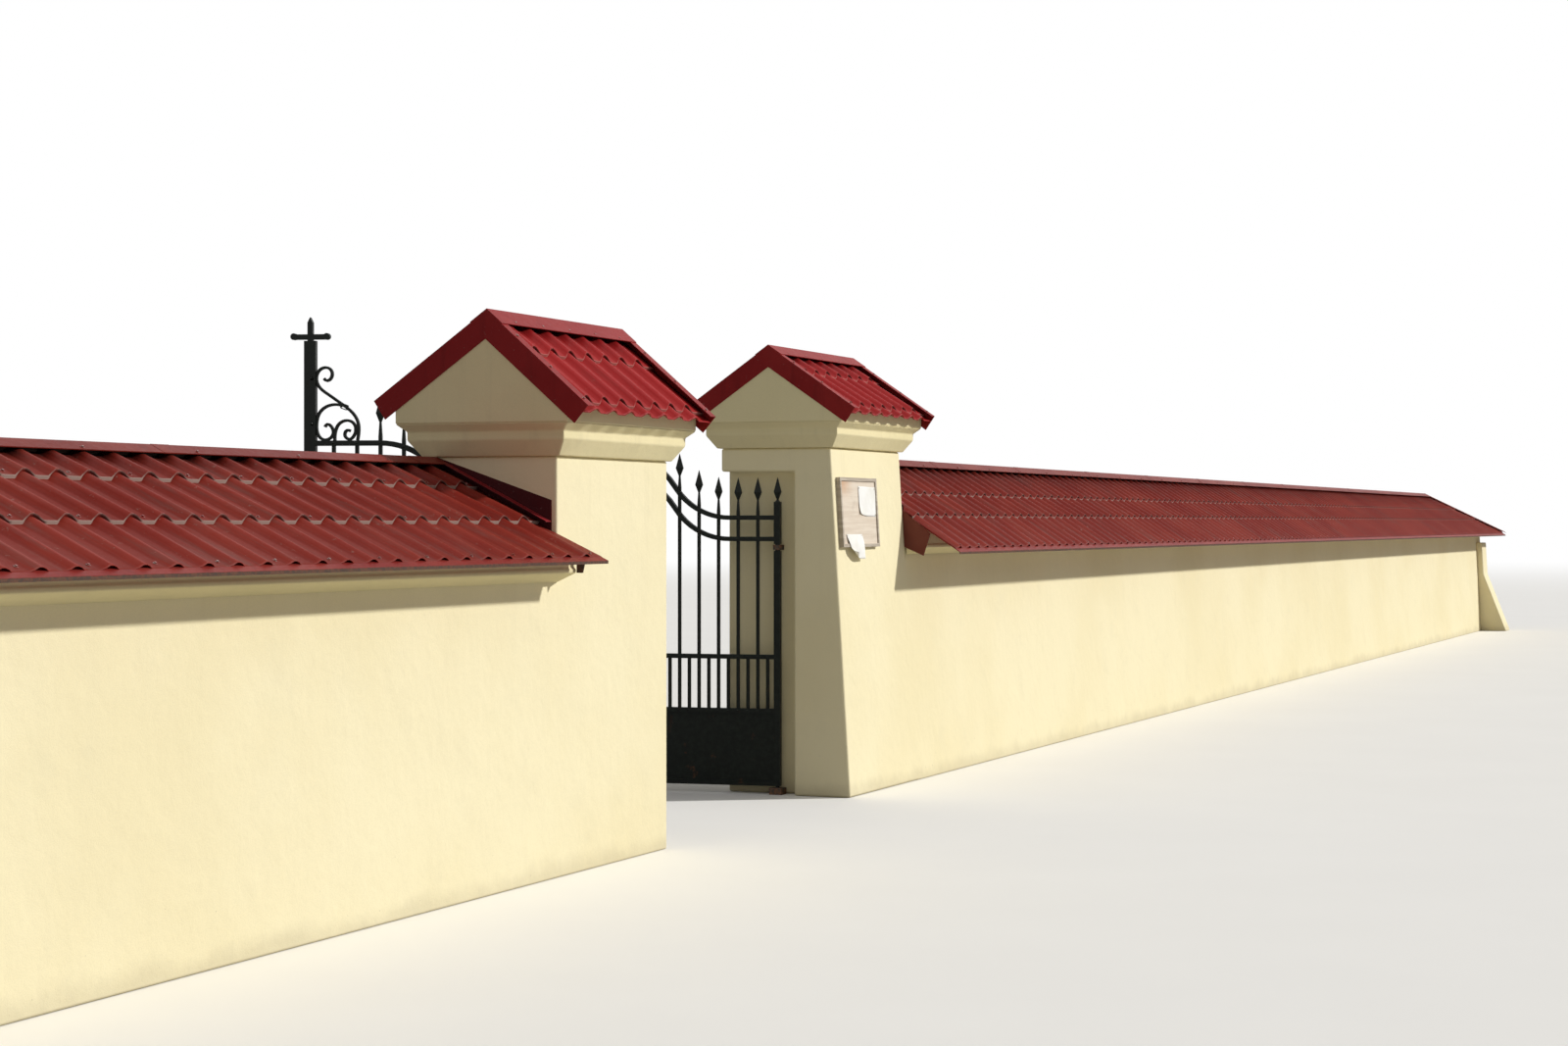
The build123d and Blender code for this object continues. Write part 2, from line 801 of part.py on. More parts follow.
def band_outline(points, width):
    """The outline of a flat bar of a width that follows a line of points."""
    sides = [], []
    for n, (u, z) in enumerate(points):
        before = points[max(n - 1, 0)]
        after = points[min(n + 1, len(points) - 1)]
        run, rise = after[0] - before[0], after[1] - before[1]
        share = width / 2 / hypot(run, rise)
        sides[0].append((u - rise * share, z + run * share))
        sides[1].append((u + rise * share, z - run * share))
    return sides[0] + sides[1][::-1]


def spear_sections(base, base_width, base_depth, tip):
    """A spear head's (height, width, depth) from its base through its neck to its tip."""
    neck = [(tip - spear_length, neck_size, neck_size)] if tip - base > spear_length + 1 else []
    head = [(tip - spear_widest, spear_width, spear_thickness), (tip, 2, 2)]
    return [(base, base_width, base_depth)] + neck + head


def make_spears(face, heads):
    """Spear heads at their distances u along a leaf: the front outline of each, cut to its side outline."""
    with BuildPart() as sides:
        for u, sections in heads:
            side = Plane(origin=face.origin + face.x_dir * u, x_dir=face.z_dir, z_dir=face.x_dir)
            turn = side.y_dir.Z
            with BuildSketch(side):
                with BuildLine():
                    right = [(depth / 2, turn * z) for z, width, depth in sections]
                    Polyline(*right, *[(-d, z) for d, z in reversed(right)], close=True)
                make_face()
            extrude(amount=spear_width, both=True)
    with BuildPart() as spears:
        with BuildSketch(face):
            for u, sections in heads:
                with BuildLine():
                    right = [(u + width / 2, z) for z, width, depth in sections]
                    Polyline(*right, *[(2 * u - across, z) for across, z in reversed(right)], close=True)
                make_face()
        extrude(amount=spear_width, both=True)
        add(sides.part, mode=Mode.INTERSECT)
    return spears


def make_leaf(name, hinge_x, direction, end_width, end_top):
    """One gate leaf at rest. Direction is its angle from +X, seen from above."""
    along = (cos(radians(direction)), sin(radians(direction)), 0)
    across = (along[1], -along[0], 0)
    face = Plane(origin=(hinge_x, hinge_y, 0), x_dir=along, z_dir=across)
    foot = Plane(origin=(hinge_x, hinge_y, 0), x_dir=along, z_dir=(0, 0, 1))
    inner = stile_width / 2
    outer = leaf_reach - end_width / 2
    curve = [curve_start + n * (curve_end - curve_start) / curve_pieces for n in range(curve_pieces + 1)]
    stile_sections = spear_sections(stile_top_z, *stile_spear_base, stile_top_z + stile_spear_rise)
    stile_spear = make_spears(face, [(0, stile_sections)])

    with BuildPart() as frame:
        with BuildSketch(face):
            with Locations((0, (leaf_foot + stile_top_z) / 2)):
                Rectangle(stile_width, stile_top_z - leaf_foot)
            with Locations((leaf_reach, (leaf_foot + end_top) / 2)):
                Rectangle(end_width, end_top - leaf_foot)
            for z in (leaf_foot + rail_height / 2, panel_rail_z, mid_rail_z):
                with Locations(((inner + outer) / 2, z)):
                    Rectangle(outer - inner, rail_height)
            for down in (0, top_rail_spacing):
                line = [(u, rail_height_at(u) - down) for u in [inner] + curve + [outer]]
                with BuildLine():
                    Polyline(*band_outline(line, rail_height), close=True)
                make_face()
        extrude(amount=leaf_thickness / 2, both=True)
        with BuildSketch(foot.offset(panel_rail_z - rail_height / 2)):
            with Locations(*[(u, 0) for u in picket_places]):
                Rectangle(picket_size, picket_size)
        extrude(amount=top_rail_high_z, mode=Mode.SUBTRACT)
        with BuildSketch(foot.offset(panel_rail_z - rail_height / 2)):
            with Locations(*[(u, 0) for u in dog_places]):
                Rectangle(picket_size, picket_size)
        extrude(amount=mid_rail_z - panel_rail_z + rail_height, mode=Mode.SUBTRACT)
        with BuildSketch(foot.offset(collar_z - collar_gap)):
            Rectangle(stile_width + 2, stile_width + 2)
            Circle(journal_diameter / 2, mode=Mode.SUBTRACT)
        extrude(amount=collar_height + 2 * collar_gap, mode=Mode.SUBTRACT)
        with BuildSketch(foot.offset(socket_floor * 2)):
            Circle(pin_diameter / 2)
        extrude(amount=leaf_foot - socket_floor * 2)
        add(stile_spear.part)
    save(frame, f"{name}_leaf_frame")

    heads = []
    for u in picket_places:
        if u < curve_end + picket_pitch / 2:
            rail_z = rail_height_at(u)
            base = rail_z + taper_start
            heads.append((u, spear_sections(base, picket_size, picket_size, rail_z + spear_rise)))
    spears = make_spears(face, heads)
    with BuildPart() as bars:
        bar_foot = panel_rail_z - rail_height / 2
        for u in picket_places:
            rail_z = rail_height_at(u)
            if u > curve_end + picket_pitch / 2:
                bar_top = rail_z + rail_height / 2
            else:
                bar_top = rail_z + taper_start
            with BuildSketch(foot.offset(bar_foot)):
                with Locations((u, 0)):
                    Rectangle(picket_size, picket_size)
            extrude(amount=bar_top - bar_foot)
        with BuildSketch(foot.offset(bar_foot)):
            with Locations(*[(u, 0) for u in dog_places]):
                Rectangle(picket_size, picket_size)
        extrude(amount=mid_rail_z - panel_rail_z + rail_height)
        add(spears.part)
    save(bars, f"{name}_leaf_bars")

    panel_low = leaf_foot + rail_height
    panel_high = panel_rail_z - rail_height / 2
    with BuildPart() as panel:
        with BuildSketch(face):
            with Locations(((inner + outer) / 2, (panel_low + panel_high) / 2)):
                Rectangle(outer - inner, panel_high - panel_low)
        extrude(amount=panel_thickness / 2, both=True)
    save(panel, f"{name}_leaf_panel")

    base_z = top_rail_high_z + rail_height / 2
    with BuildPart() as scrolls:
        with BuildSketch(face):
            for shape in scroll_shapes:
                with BuildLine():
                    curl = Spline(*[(outer - d, base_z + h) for d, h in shape], mode=Mode.PRIVATE)
                    count = scroll_pieces * (len(shape) - 1)
                    line = [tuple(curl @ (n / count))[:2] for n in range(count + 1)]
                    Polyline(*band_outline(line, scroll_width), close=True)
                make_face()
        extrude(amount=scroll_thickness / 2, both=True)
        add(frame.part, mode=Mode.SUBTRACT)
        add(bars.part, mode=Mode.SUBTRACT)
    save(scrolls, f"{name}_leaf_scrolls")
    return face


left_face = make_leaf("left", left_hinge_x, left_leaf_open, post_width, post_top_z)
make_leaf("right", right_hinge_x, 180 - right_leaf_open, stile_width, scroll_stile_top_z)

arm = cross_span / 2 - cross_knob / 2
with BuildPart() as cross:
    with BuildSketch(left_face):
        with BuildLine():
            Polyline(
                (leaf_reach - cross_size / 2, post_top_z),
                (leaf_reach + cross_size / 2, post_top_z),
                (leaf_reach + cross_size / 2, cross_tip_z - cross_size),
                (leaf_reach, cross_tip_z),
                (leaf_reach - cross_size / 2, cross_tip_z - cross_size),
                close=True,
            )
        make_face()
        with Locations((leaf_reach, cross_z)):
            Rectangle(2 * arm, cross_size)
        with Locations((leaf_reach - arm, cross_z + 2), (leaf_reach + arm, cross_z + 2)):
            Circle(cross_knob / 2)
    extrude(amount=cross_size / 2, both=True)
save(cross, "left_leaf_cross")

for name, hinge_x, inward in (("left", left_hinge_x, -1), ("right", right_hinge_x, 1)):
    shank = niche_depth - hinge_inset
    with BuildPart() as hinges:
        with BuildSketch(Plane.XY):
            with Locations((hinge_x, hinge_y)):
                Rectangle(socket_size, socket_size)
        extrude(amount=socket_height)
        with BuildSketch(Plane.XY.offset(socket_floor)):
            with Locations((hinge_x, hinge_y)):
                Circle(pin_diameter / 2 + pin_clearance)
        extrude(amount=socket_height, mode=Mode.SUBTRACT)
        with BuildSketch(Plane.XY.offset(collar_z)):
            with Locations((hinge_x, hinge_y)):
                Circle(collar_diameter / 2)
            with Locations((hinge_x + inward * shank / 2, hinge_y)):
                Rectangle(shank, collar_height)
            with Locations((hinge_x, hinge_y)):
                Circle(journal_diameter / 2 + pin_clearance, mode=Mode.SUBTRACT)
        extrude(amount=collar_height)
    save(hinges, f"{name}_gate_hinges")
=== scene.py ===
from math import atan2, cos, hypot, pi, radians, sin

import bmesh
import bpy
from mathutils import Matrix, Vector


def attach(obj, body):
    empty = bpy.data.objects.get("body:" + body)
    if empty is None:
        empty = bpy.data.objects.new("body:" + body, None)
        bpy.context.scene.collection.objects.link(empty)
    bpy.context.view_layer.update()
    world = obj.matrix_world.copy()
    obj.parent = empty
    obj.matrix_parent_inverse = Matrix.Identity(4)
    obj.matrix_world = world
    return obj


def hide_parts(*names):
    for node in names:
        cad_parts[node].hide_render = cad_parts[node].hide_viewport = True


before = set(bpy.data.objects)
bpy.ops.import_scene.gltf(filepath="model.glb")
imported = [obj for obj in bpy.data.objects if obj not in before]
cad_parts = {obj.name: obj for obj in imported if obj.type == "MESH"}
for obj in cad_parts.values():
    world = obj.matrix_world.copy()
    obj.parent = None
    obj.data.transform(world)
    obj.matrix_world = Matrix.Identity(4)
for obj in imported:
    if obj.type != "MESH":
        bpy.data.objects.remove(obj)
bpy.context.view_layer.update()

# The view: a level camera at eye height outside the wall, near the wall's left end, which looks
# along the wall and in through the gateway.
looks_along = (0.926, 0.3775)
camera = bpy.data.objects.new("camera", bpy.data.cameras.new("camera"))
bpy.context.collection.objects.link(camera)
camera.location = (-11.60, -5.935, 1.615)
camera.rotation_euler = (pi / 2, 0, -atan2(*looks_along))
camera.data.lens = 62.1
camera.data.sensor_width = 36
camera.data.clip_end = 200
bpy.context.scene.camera = camera
bpy.context.scene.view_settings.view_transform = "Standard"

# Level ground and a white surround, both outside the object. A distant lamp to the right of the
# gate's front throws the shadows, and the surround gives an even light from everywhere else.
even_light = 0.31
fade_middle_x, fade_start, fade_end = 10, 35, 100
ground = bpy.data.meshes.new("ground")
ground.from_pydata([(-120, -120, 0), (160, -120, 0), (160, 160, 0), (-120, 160, 0)], [], [(0, 1, 2, 3)])
ground = bpy.data.objects.new("ground", ground)
bpy.context.collection.objects.link(ground)


# The ground's paint, like every finish below, is a tree of nodes. A Wire is one socket in it, and
# sums of wires are written as Python writes them. A Tree adds any other node from its type, its
# settings and its sockets.
class Wire:
    def __init__(self, tree, socket):
        self.tree, self.socket = tree, socket

    def sum(self, operation, *parts):
        return self.tree.node("ShaderNodeMath", {"operation": operation}, dict(enumerate(parts)))[0]

    def __add__(self, other):
        return self.sum("ADD", self, other)

    def __sub__(self, other):
        return self.sum("SUBTRACT", self, other)

    def __rsub__(self, other):
        return self.sum("SUBTRACT", other, self)

    def __mul__(self, other):
        return self.sum("MULTIPLY", self, other)

    def __truediv__(self, other):
        return self.sum("DIVIDE", self, other)

    def __pow__(self, other):
        return self.sum("POWER", self, other)

    def __mod__(self, other):
        return self.sum("FLOORED_MODULO", self, other)

    def __lt__(self, other):
        return self.sum("LESS_THAN", self, other)

    def __gt__(self, other):
        return self.sum("GREATER_THAN", self, other)

    __radd__ = __add__
    __rmul__ = __mul__

    def between(self, low, high):
        """0 at low and 1 at high, or the other way round, with no step in between."""
        settings = {"interpolation_type": "SMOOTHSTEP"}
        return self.tree.node("ShaderNodeMapRange", settings, {"Value": self, 1: low, 2: high})[0]


class Tree:
    def __init__(self, nodes):
        self.nodes = nodes

    def node(self, kind, settings=(), sockets=()):
        made = self.nodes.nodes.new(kind)
        for name, value in dict(settings).items():
            setattr(made, name, value)
        for name, value in dict(sockets).items():
            if isinstance(value, Wire):
                self.nodes.links.new(value.socket, made.inputs[name])
            else:
                made.inputs[name].default_value = value
        return [Wire(self, socket) for socket in made.outputs]


class Finish(Tree):
    def __init__(self, name, **shader):
        self.material = bpy.data.materials.new(name)
        self.material.use_nodes = True
        super().__init__(self.material.node_tree)
        self.shader = self.nodes.nodes["Principled BSDF"]
        for socket, value in shader.items():
            self.shader.inputs[socket.replace("_", " ")].default_value = value
        self.place = self.node("ShaderNodeTexCoord")[3]
        self.x, self.y, self.z = self.node("ShaderNodeSeparateXYZ", (), {0: self.place})

    def stretched(self, x, y, z):
        """The place on the object with its pattern's scale set along each axis."""
        return self.node("ShaderNodeMapping", (), {"Vector": self.place, "Scale": (x, y, z)})[0]

    def noise(self, scale, detail=3.0, roughness=0.55, place=None):
        place = place or self.place
        sockets = {"Vector": place, "Scale": scale, "Detail": detail, "Roughness": roughness}
        return self.node("ShaderNodeTexNoise", (), sockets)[0]

    def mix(self, share, first, second):
        first, second = (c if isinstance(c, Wire) else (*c, 1) for c in (first, second))
        return self.node("ShaderNodeMix", {"data_type": "RGBA"}, {0: share, 6: first, 7: second})[2]

    def bump(self, height):
        """The normal that a relief leaves, whose height is in metres."""
        return self.node("ShaderNodeBump", (), {"Height": height, "Distance": 1.0, "Strength": 1.0})[0]

    def wear(self, **sockets):
        """Ends the finish: what varies over the surface goes to these sockets of the shader."""
        for name, wire in sockets.items():
            self.nodes.links.new(wire.socket, self.shader.inputs[name.replace("_", " ")])
        return self.material


floor_paint = Finish("floor", Roughness=0.9)
pale = floor_paint.mix(floor_paint.noise(0.8), (0.91, 0.90, 0.88), (0.95, 0.94, 0.92))
to_camera = floor_paint.node("ShaderNodeLightPath")[0]
floor_paint.wear(Base_Color=floor_paint.mix(to_camera, (0.42, 0.40, 0.37), pale))
ground.data.materials.append(floor_paint.material)


def white_where_seen(tree):
    """How strong the surround is: white to the camera and in reflections, and even as a light."""
    ray = tree.node("ShaderNodeLightPath")
    seen = ray[0].sum("MAXIMUM", ray[0], ray[3])
    return even_light + seen.sum("MAXIMUM", seen, ray[6]) * (1 - even_light)


world = bpy.data.worlds.new("surround")
world.use_nodes = True
bpy.context.scene.world = world
even = world.node_tree.nodes["Background"]
even.inputs["Color"].default_value = (1.0, 1.0, 1.0, 1)
world.node_tree.links.new(white_where_seen(Tree(world.node_tree)).socket, even.inputs["Strength"])

# The ground fades to the surround's white far from the wall.
from_wall = floor_paint.x.sum("SQRT", (floor_paint.x - fade_middle_x) ** 2 + floor_paint.y ** 2)
glow = floor_paint.node("ShaderNodeEmission", (), {"Strength": white_where_seen(floor_paint)})
faded = floor_paint.node("ShaderNodeMixShader", (), {0: from_wall.between(fade_start, fade_end)})[0]
joints = floor_paint.nodes.links
joints.new(floor_paint.shader.outputs[0], faded.socket.node.inputs[1])
joints.new(glow[0].socket, faded.socket.node.inputs[2])
joints.new(faded.socket, floor_paint.nodes.nodes["Material Output"].inputs["Surface"])

lamp = bpy.data.objects.new("high_lamp", bpy.data.lights.new("high_lamp", "SUN"))
lamp.data.energy = 3.15
lamp.data.angle = radians(3)
lamp.data.color = (1.0, 0.985, 0.95)
lamp.rotation_euler = Vector((0.62, -0.95, 0.62)).to_track_quat("Z", "Y").to_euler()
bpy.context.collection.objects.link(lamp)


# The masonry: brick and rubble walls and piers, rendered by hand with lime plaster and painted
# a pale cream. The float has left shallow waves, and rain has streaked and splashed the paint.
def plaster(name, sun_tone, damp_tone, streaks):
    coat = Finish(name, **{"Specular IOR Level": 0.12})
    broad = coat.noise(0.7, 4)
    patchy = coat.noise(5.0, 5, 0.6)
    grain = coat.noise(240.0, 2)
    colour = coat.mix(broad.between(0.35, 0.7), sun_tone, damp_tone)
    colour = coat.mix(patchy.between(0.5, 0.8) * 0.30, colour, [c * 0.88 for c in sun_tone])
    colour = coat.mix((1 - grain.between(0.3, 0.6)) * 0.12, colour, [c * 0.66 for c in sun_tone])
    runs = coat.noise(1.0, 4, 0.6, coat.stretched(14, 14, 0.9)).between(0.52, 0.74)
    under_eave = coat.z.between(0.7, 1.9)
    colour = coat.mix(runs * under_eave * streaks, colour, (0.46, 0.41, 0.27))
    splash = (coat.z + (coat.noise(4.0, 4) - 0.5) * 0.16).between(0.11, 0.0)
    colour = coat.mix(splash * 0.30, colour, (0.42, 0.36, 0.24))
    speck = coat.noise(60.0, 2, 0.5).between(0.72, 0.78) * coat.z.between(0.5, 0.05)
    colour = coat.mix(speck * 0.6, colour, (0.30, 0.25, 0.17))
    relief = coat.noise(2.2, 3) * 0.012 + coat.noise(16.0, 3) * 0.0022 + grain * 0.0006
    return coat.wear(Base_Color=colour, Normal=coat.bump(relief), Roughness=0.82 + grain * 0.14)


wall_plaster = plaster("painted_render", (0.90, 0.82, 0.56), (0.86, 0.77, 0.50), 0.08)
# The bands' plaster is the walls' plaster made darker and more olive: partly weathering, partly painted
# shade on the cornices and gables.
band_plaster_with_shade = plaster("weathered_render", (0.86, 0.77, 0.48), (0.78, 0.70, 0.42), 0.12)
left_seam_x, right_seam_x, seam_top = -0.6, 4.45, 1.40
right_pier_foot_y, right_pier_lean = -0.300, 0.0607
same_place = 0.0004


def kept_mesh(name, shape, paint, replaced=None):
    """An edited shape as a piece of the masonry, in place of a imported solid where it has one."""
    mesh = bpy.data.meshes.new(name)
    shape.to_mesh(mesh)
    shape.free()
    mesh.materials.clear()
    mesh.materials.append(paint)
    piece = bpy.data.objects.new(name, mesh)
    bpy.context.collection.objects.link(piece)
    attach(piece, "masonry")
    if replaced:
        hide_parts(replaced)
    return piece


def packed_shape(node):
    """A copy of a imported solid's mesh, with its loose triangles joined."""
    shape = bmesh.new()
    shape.from_mesh(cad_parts[node].data)
    bmesh.ops.remove_doubles(shape, verts=shape.verts, dist=same_place)
    return shape


def cut(shape, point, normal, **what):
    """Cuts a shape with a plane, and gives the cut's edges."""
    everything = shape.verts[:] + shape.edges[:] + shape.faces[:]
    made = bmesh.ops.bisect_plane(shape, geom=everything, plane_co=point, plane_no=normal, **what)
    return [e for e in made["geom_cut"] if isinstance(e, bmesh.types.BMEdge)]


def soften(node, paint, radius, seam_x=None, up_to=9.0):
    """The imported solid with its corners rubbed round, as a float leaves them. At a seam's x, where a
    wall and a pier share one face of plaster, they stay sharp up to a height."""
    shape = packed_shape(node)
    bmesh.ops.dissolve_limit(shape, angle_limit=radians(0.6), verts=shape.verts, edges=shape.edges)

    def at_seam(vertex):
        return seam_x is not None and abs(vertex.co.x - seam_x) < 0.001 and vertex.co.z < up_to + 0.001

    if node == "right_wall":  # its plaster runs on level from the pier's leaning face
        for vertex in shape.verts:
            if at_seam(vertex) and vertex.co.y < 0:
                vertex.co.y = right_pier_foot_y + right_pier_lean * vertex.co.z
    cut(shape, (0, 0, up_to), (0, 0, 1))
    corners = [e for e in shape.edges if len(e.link_faces) == 2 and e.calc_face_angle() > radians(12)]
    sharp = [e for e in corners if not all(at_seam(v) for v in e.verts)]
    for face in shape.faces:
        face.smooth = False
    rounded = bmesh.ops.bevel(
        shape, geom=sharp, offset=radius, segments=3, profile=0.5, affect="EDGES", clamp_overlap=True
    )
    for face in rounded["faces"]:
        face.smooth = True
    bmesh.ops.triangulate(shape, faces=[f for f in shape.faces if len(f.verts) > 4])
    kept_mesh(node + "_render", shape, paint, node)


for side, seam_x in (("left", left_seam_x), ("right", right_seam_x)):
    soften(side + "_wall", wall_plaster, 0.010, seam_x)
    soften(side + "_pier", wall_plaster, 0.014, seam_x, seam_top)
    soften(side + "_pier_cornice", band_plaster_with_shade, 0.006)
    soften(side + "_pier_gable", band_plaster_with_shade, 0.008)
    soften(side + "_wall_cornice", band_plaster_with_shade, 0.006, seam_x)
soften("right_wall_buttress", wall_plaster, 0.014)


# The roof sheets: coated steel pressed into waves of 183.3 mm and steps of 350 mm, so that a sheet
# looks like rows of tiles. The piers' sheets are a newer crimson, and the long walls' are weathered.
def coated_steel(name, tone, faded, rim, dirt):
    coat = Finish(name, **{"Specular IOR Level": 0.10})
    lip = coat.node("ShaderNodeAttribute", {"attribute_name": "lip"})[2].between(0.5, 0.95)
    riser = coat.node("ShaderNodeAttribute", {"attribute_name": "riser"})[2]
    wave = coat.node("ShaderNodeAttribute", {"attribute_name": "wave"})[2]
    painted_shade_side = coat.node("ShaderNodeAttribute", {"attribute_name": "painted_shade_side"})[2]
    broad = coat.noise(1.3, 4, 0.6)
    fine = coat.noise(38.0, 4, 0.65)
    colour = coat.mix(broad.between(0.35, 0.68), tone, faded)
    colour = coat.mix(wave.between(0.45, 0.0) * dirt, colour, [c * 0.5 for c in tone])
    runs = coat.noise(1.0, 4, 0.6, coat.stretched(26, 2.4, 2.4)).between(0.5, 0.72)
    colour = coat.mix(runs * dirt * 0.8, colour, (0.13, 0.075, 0.065))
    colour = coat.mix(fine.between(0.62, 0.75) * dirt, colour, (0.29, 0.20, 0.17))
    # The step faces are pale where dust lies in the valleys, painted darker towards each crest, and painted
    # nearly black on the side where each wave falls: painted shade.
    riser_dust_and_shade = coat.mix(wave.between(0.05, 0.35), rim, [c * 0.7 for c in tone])
    riser_dust_and_shade = coat.mix(painted_shade_side, riser_dust_and_shade, [c * 0.10 for c in tone])
    colour = coat.mix(riser * 0.9, colour, riser_dust_and_shade)
    colour = coat.mix(lip * (0.80 - wave.between(0.1, 0.7) * 0.5), colour, rim)
    rough = 0.38 + fine * 0.22 + dirt * 0.16
    normal = coat.bump(fine * 0.0005 + coat.noise(9.0, 2) * 0.002)
    return coat.wear(Base_Color=colour, Roughness=rough, Normal=normal)


new_sheet = coated_steel(
    "crimson_sheet", (0.30, 0.011, 0.012), (0.355, 0.018, 0.018), (0.44, 0.17, 0.15), 0.14
)
old_sheet = coated_steel(
    "weathered_sheet", (0.185, 0.014, 0.008), (0.24, 0.028, 0.017), (0.39, 0.30, 0.26), 0.42
)


def new_nodes(name, **inputs):
    """An empty tree of geometry nodes, and its inputs' wires. The inputs' names are listed by kind."""
    tree = bpy.data.node_groups.new(name, "GeometryNodeTree")
    face = tree.interface
    face.new_socket("Geometry", in_out="OUTPUT", socket_type="NodeSocketGeometry")
    for kind, sockets in {"Geometry": ["Geometry"], **inputs}.items():
        for socket in sockets:
            face.new_socket(socket, in_out="INPUT", socket_type="NodeSocket" + kind)
    web = Tree(tree)
    sockets = [s.name for s in face.items_tree if s.in_out == "INPUT"]
    return web, dict(zip(sockets, web.node("NodeGroupInput")))


def end_nodes(web, shape, paint, smooth=False):
    """The nodes that end each tree: what it placed becomes one mesh in its material."""
    shape = web.node("GeometryNodeRealizeInstances", (), {0: shape})[0]
    if smooth:
        shape = web.node("GeometryNodeSetShadeSmooth", (), {"Geometry": shape, "Shade Smooth": True})[0]
    shape = web.node("GeometryNodeSetMaterial", (), {"Geometry": shape, "Material": paint})[0]
    web.node("NodeGroupOutput", (), {0: shape})
    return web.nodes


def sheet_tree():
    """Nodes that press a grid into waves and steps, and lay it on a slope."""
    web, given = new_nodes(
        "pressed_sheet",
        Float=[
            "Width", "Length", "Wave Pitch", "Wave Height", "Tile Length", "First", "Course", "Step",
            "Eave Lift", "Eave Rest", "Curl", "Thickness",
        ],
        Int=["Waves", "Wave Points", "Courses"],
        Vector=["Eave", "Along", "Up", "Out"],
        Material=["Coat"],
    )
    width, length, pitch = given["Width"], given["Length"], given["Wave Pitch"]
    points, tile = given["Wave Points"], given["Tile Length"]
    columns = given["Waves"] * points + 3
    rows = given["Courses"] * 3
    grid = web.node("GeometryNodeMeshGrid", (), {2: columns, 3: rows})[0]
    index = web.node("GeometryNodeInputIndex")[0]
    row = index % rows
    column = index.sum("FLOOR", index / rows + 0.0001)

    # Across the slope: a flat edge, the waves and a flat edge.
    first_column = column < 0.5
    last_column = column > columns - 1.5
    inside = (1 - first_column) * (1 - last_column)
    flat = (width - given["Waves"] * pitch) / 2
    along = (flat + (column - 1) * pitch / points) * inside + width * last_column
    phase = ((column - 1) / points) % 1.0
    curve = web.node("ShaderNodeFloatCurve", (), {"Value": phase})[0]
    shape = curve.socket.node.mapping.curves[0]
    for place, rise in ((0.13, 0.65), (0.23, 1.0), (0.32, 0.92), (0.48, 0.42), (0.64, 0.0)):
        shape.points.new(place, rise)
    shape.points[0].location = (0.0, 0.0)
    shape.points[-1].location = (1.0, 0.0)
    curve.socket.node.mapping.update()
    wave = curve * inside

    # Up the slope: each course has three rows of points, which are its lip, a line close behind the
    # lip, and its top. The face of a step goes from one course's top out to the next one's lip.
    lip_width = 0.012
    course = index.sum("FLOOR", row / 3 + 0.0001)
    part = row % 3
    is_top = part > 1.5
    is_lip = part < 0.5
    lapped = course > 0.5
    last = course > given["Courses"] - 1.5
    start = (given["First"] + (course - 1) * given["Course"]) * lapped
    end = (given["First"] + course * given["Course"]) * (1 - last) + length * last
    used = index.sum("MINIMUM", (end - start) / tile, 1.0)
    low_lift = given["Step"] * lapped + given["Eave Lift"] * (1 - lapped)
    lift = low_lift * (1 - is_top) + given["Step"] * (1 - used) * last * is_top
    bend = wave * given["Curl"] * (lapped * (1 - is_top) + is_top * (1 - last))
    up = start * (1 - is_top) + end * is_top + (1 - is_top) * (1 - is_lip) * lip_width + bend
    rise = lift + wave * given["Wave Height"] + given["Thickness"]
    rise = rise.sum("MAXIMUM", rise, given["Eave Rest"] * (1 - lapped) * (1 - is_top))

    place = given["Eave"]
    for amount, way in ((along, "Along"), (up, "Up"), (rise, "Out")):
        sockets = {0: given[way], "Scale": amount}
        reach = web.node("ShaderNodeVectorMath", {"operation": "SCALE"}, sockets)[0]
        place = web.node("ShaderNodeVectorMath", {"operation": "ADD"}, {0: place, 1: reach})[0]
    laid = web.node("GeometryNodeSetPosition", (), {"Geometry": grid, "Position": place})[0]
    settings = {"data_type": "FLOAT", "domain": "POINT"}
    middle = web.node("GeometryNodeFieldOnDomain", settings, {0: part})[0]
    # One stored mark is the side where each wave falls, which the finish paints nearly black as painted
    # shade.
    for name, value, domain in (
        ("lip", is_lip * (0.55 + lapped * 0.45), "POINT"),
        ("wave", wave, "POINT"),
        ("painted_shade_side", (phase > 0.27) * (phase < 0.60) * inside, "POINT"),
        ("riser", (middle > 0.8) * (middle < 1.2), "FACE"),
    ):
        settings = {"data_type": "FLOAT", "domain": domain}
        sockets = {0: laid, "Name": name, "Value": value}
        laid = web.node("GeometryNodeStoreNamedAttribute", settings, sockets)[0]
    return end_nodes(web, laid, given["Coat"])


pressed = sheet_tree()


def grown(name, tree, values, seed_mesh=None):
    """Runs a node tree with its named inputs set, and keeps the result as a plain mesh."""
    seed = bpy.data.objects.new(name, seed_mesh or bpy.data.meshes.new(name))
    bpy.context.collection.objects.link(seed)
    run = seed.modifiers.new("grow", "NODES")
    run.node_group = tree
    for socket in tree.interface.items_tree:
        if socket.in_out == "INPUT" and socket.name in values:
            run[socket.identifier] = values[socket.name]
    ready = bpy.context.evaluated_depsgraph_get()
    mesh = bpy.data.meshes.new_from_object(
        seed.evaluated_get(ready), preserve_all_data_layers=True, depsgraph=ready
    )
    seed.modifiers.remove(run)
    seed.data = mesh
    mesh.name = name
    return seed


wave_pitch = 0.1833
wave_height = 0.024
tile_length = 0.350
step = 0.014
steel = 0.004
eave_lift = 0.003
flange_rest = 0.015
sheet_gauge = 0.0022
ridge_gap = 0.002


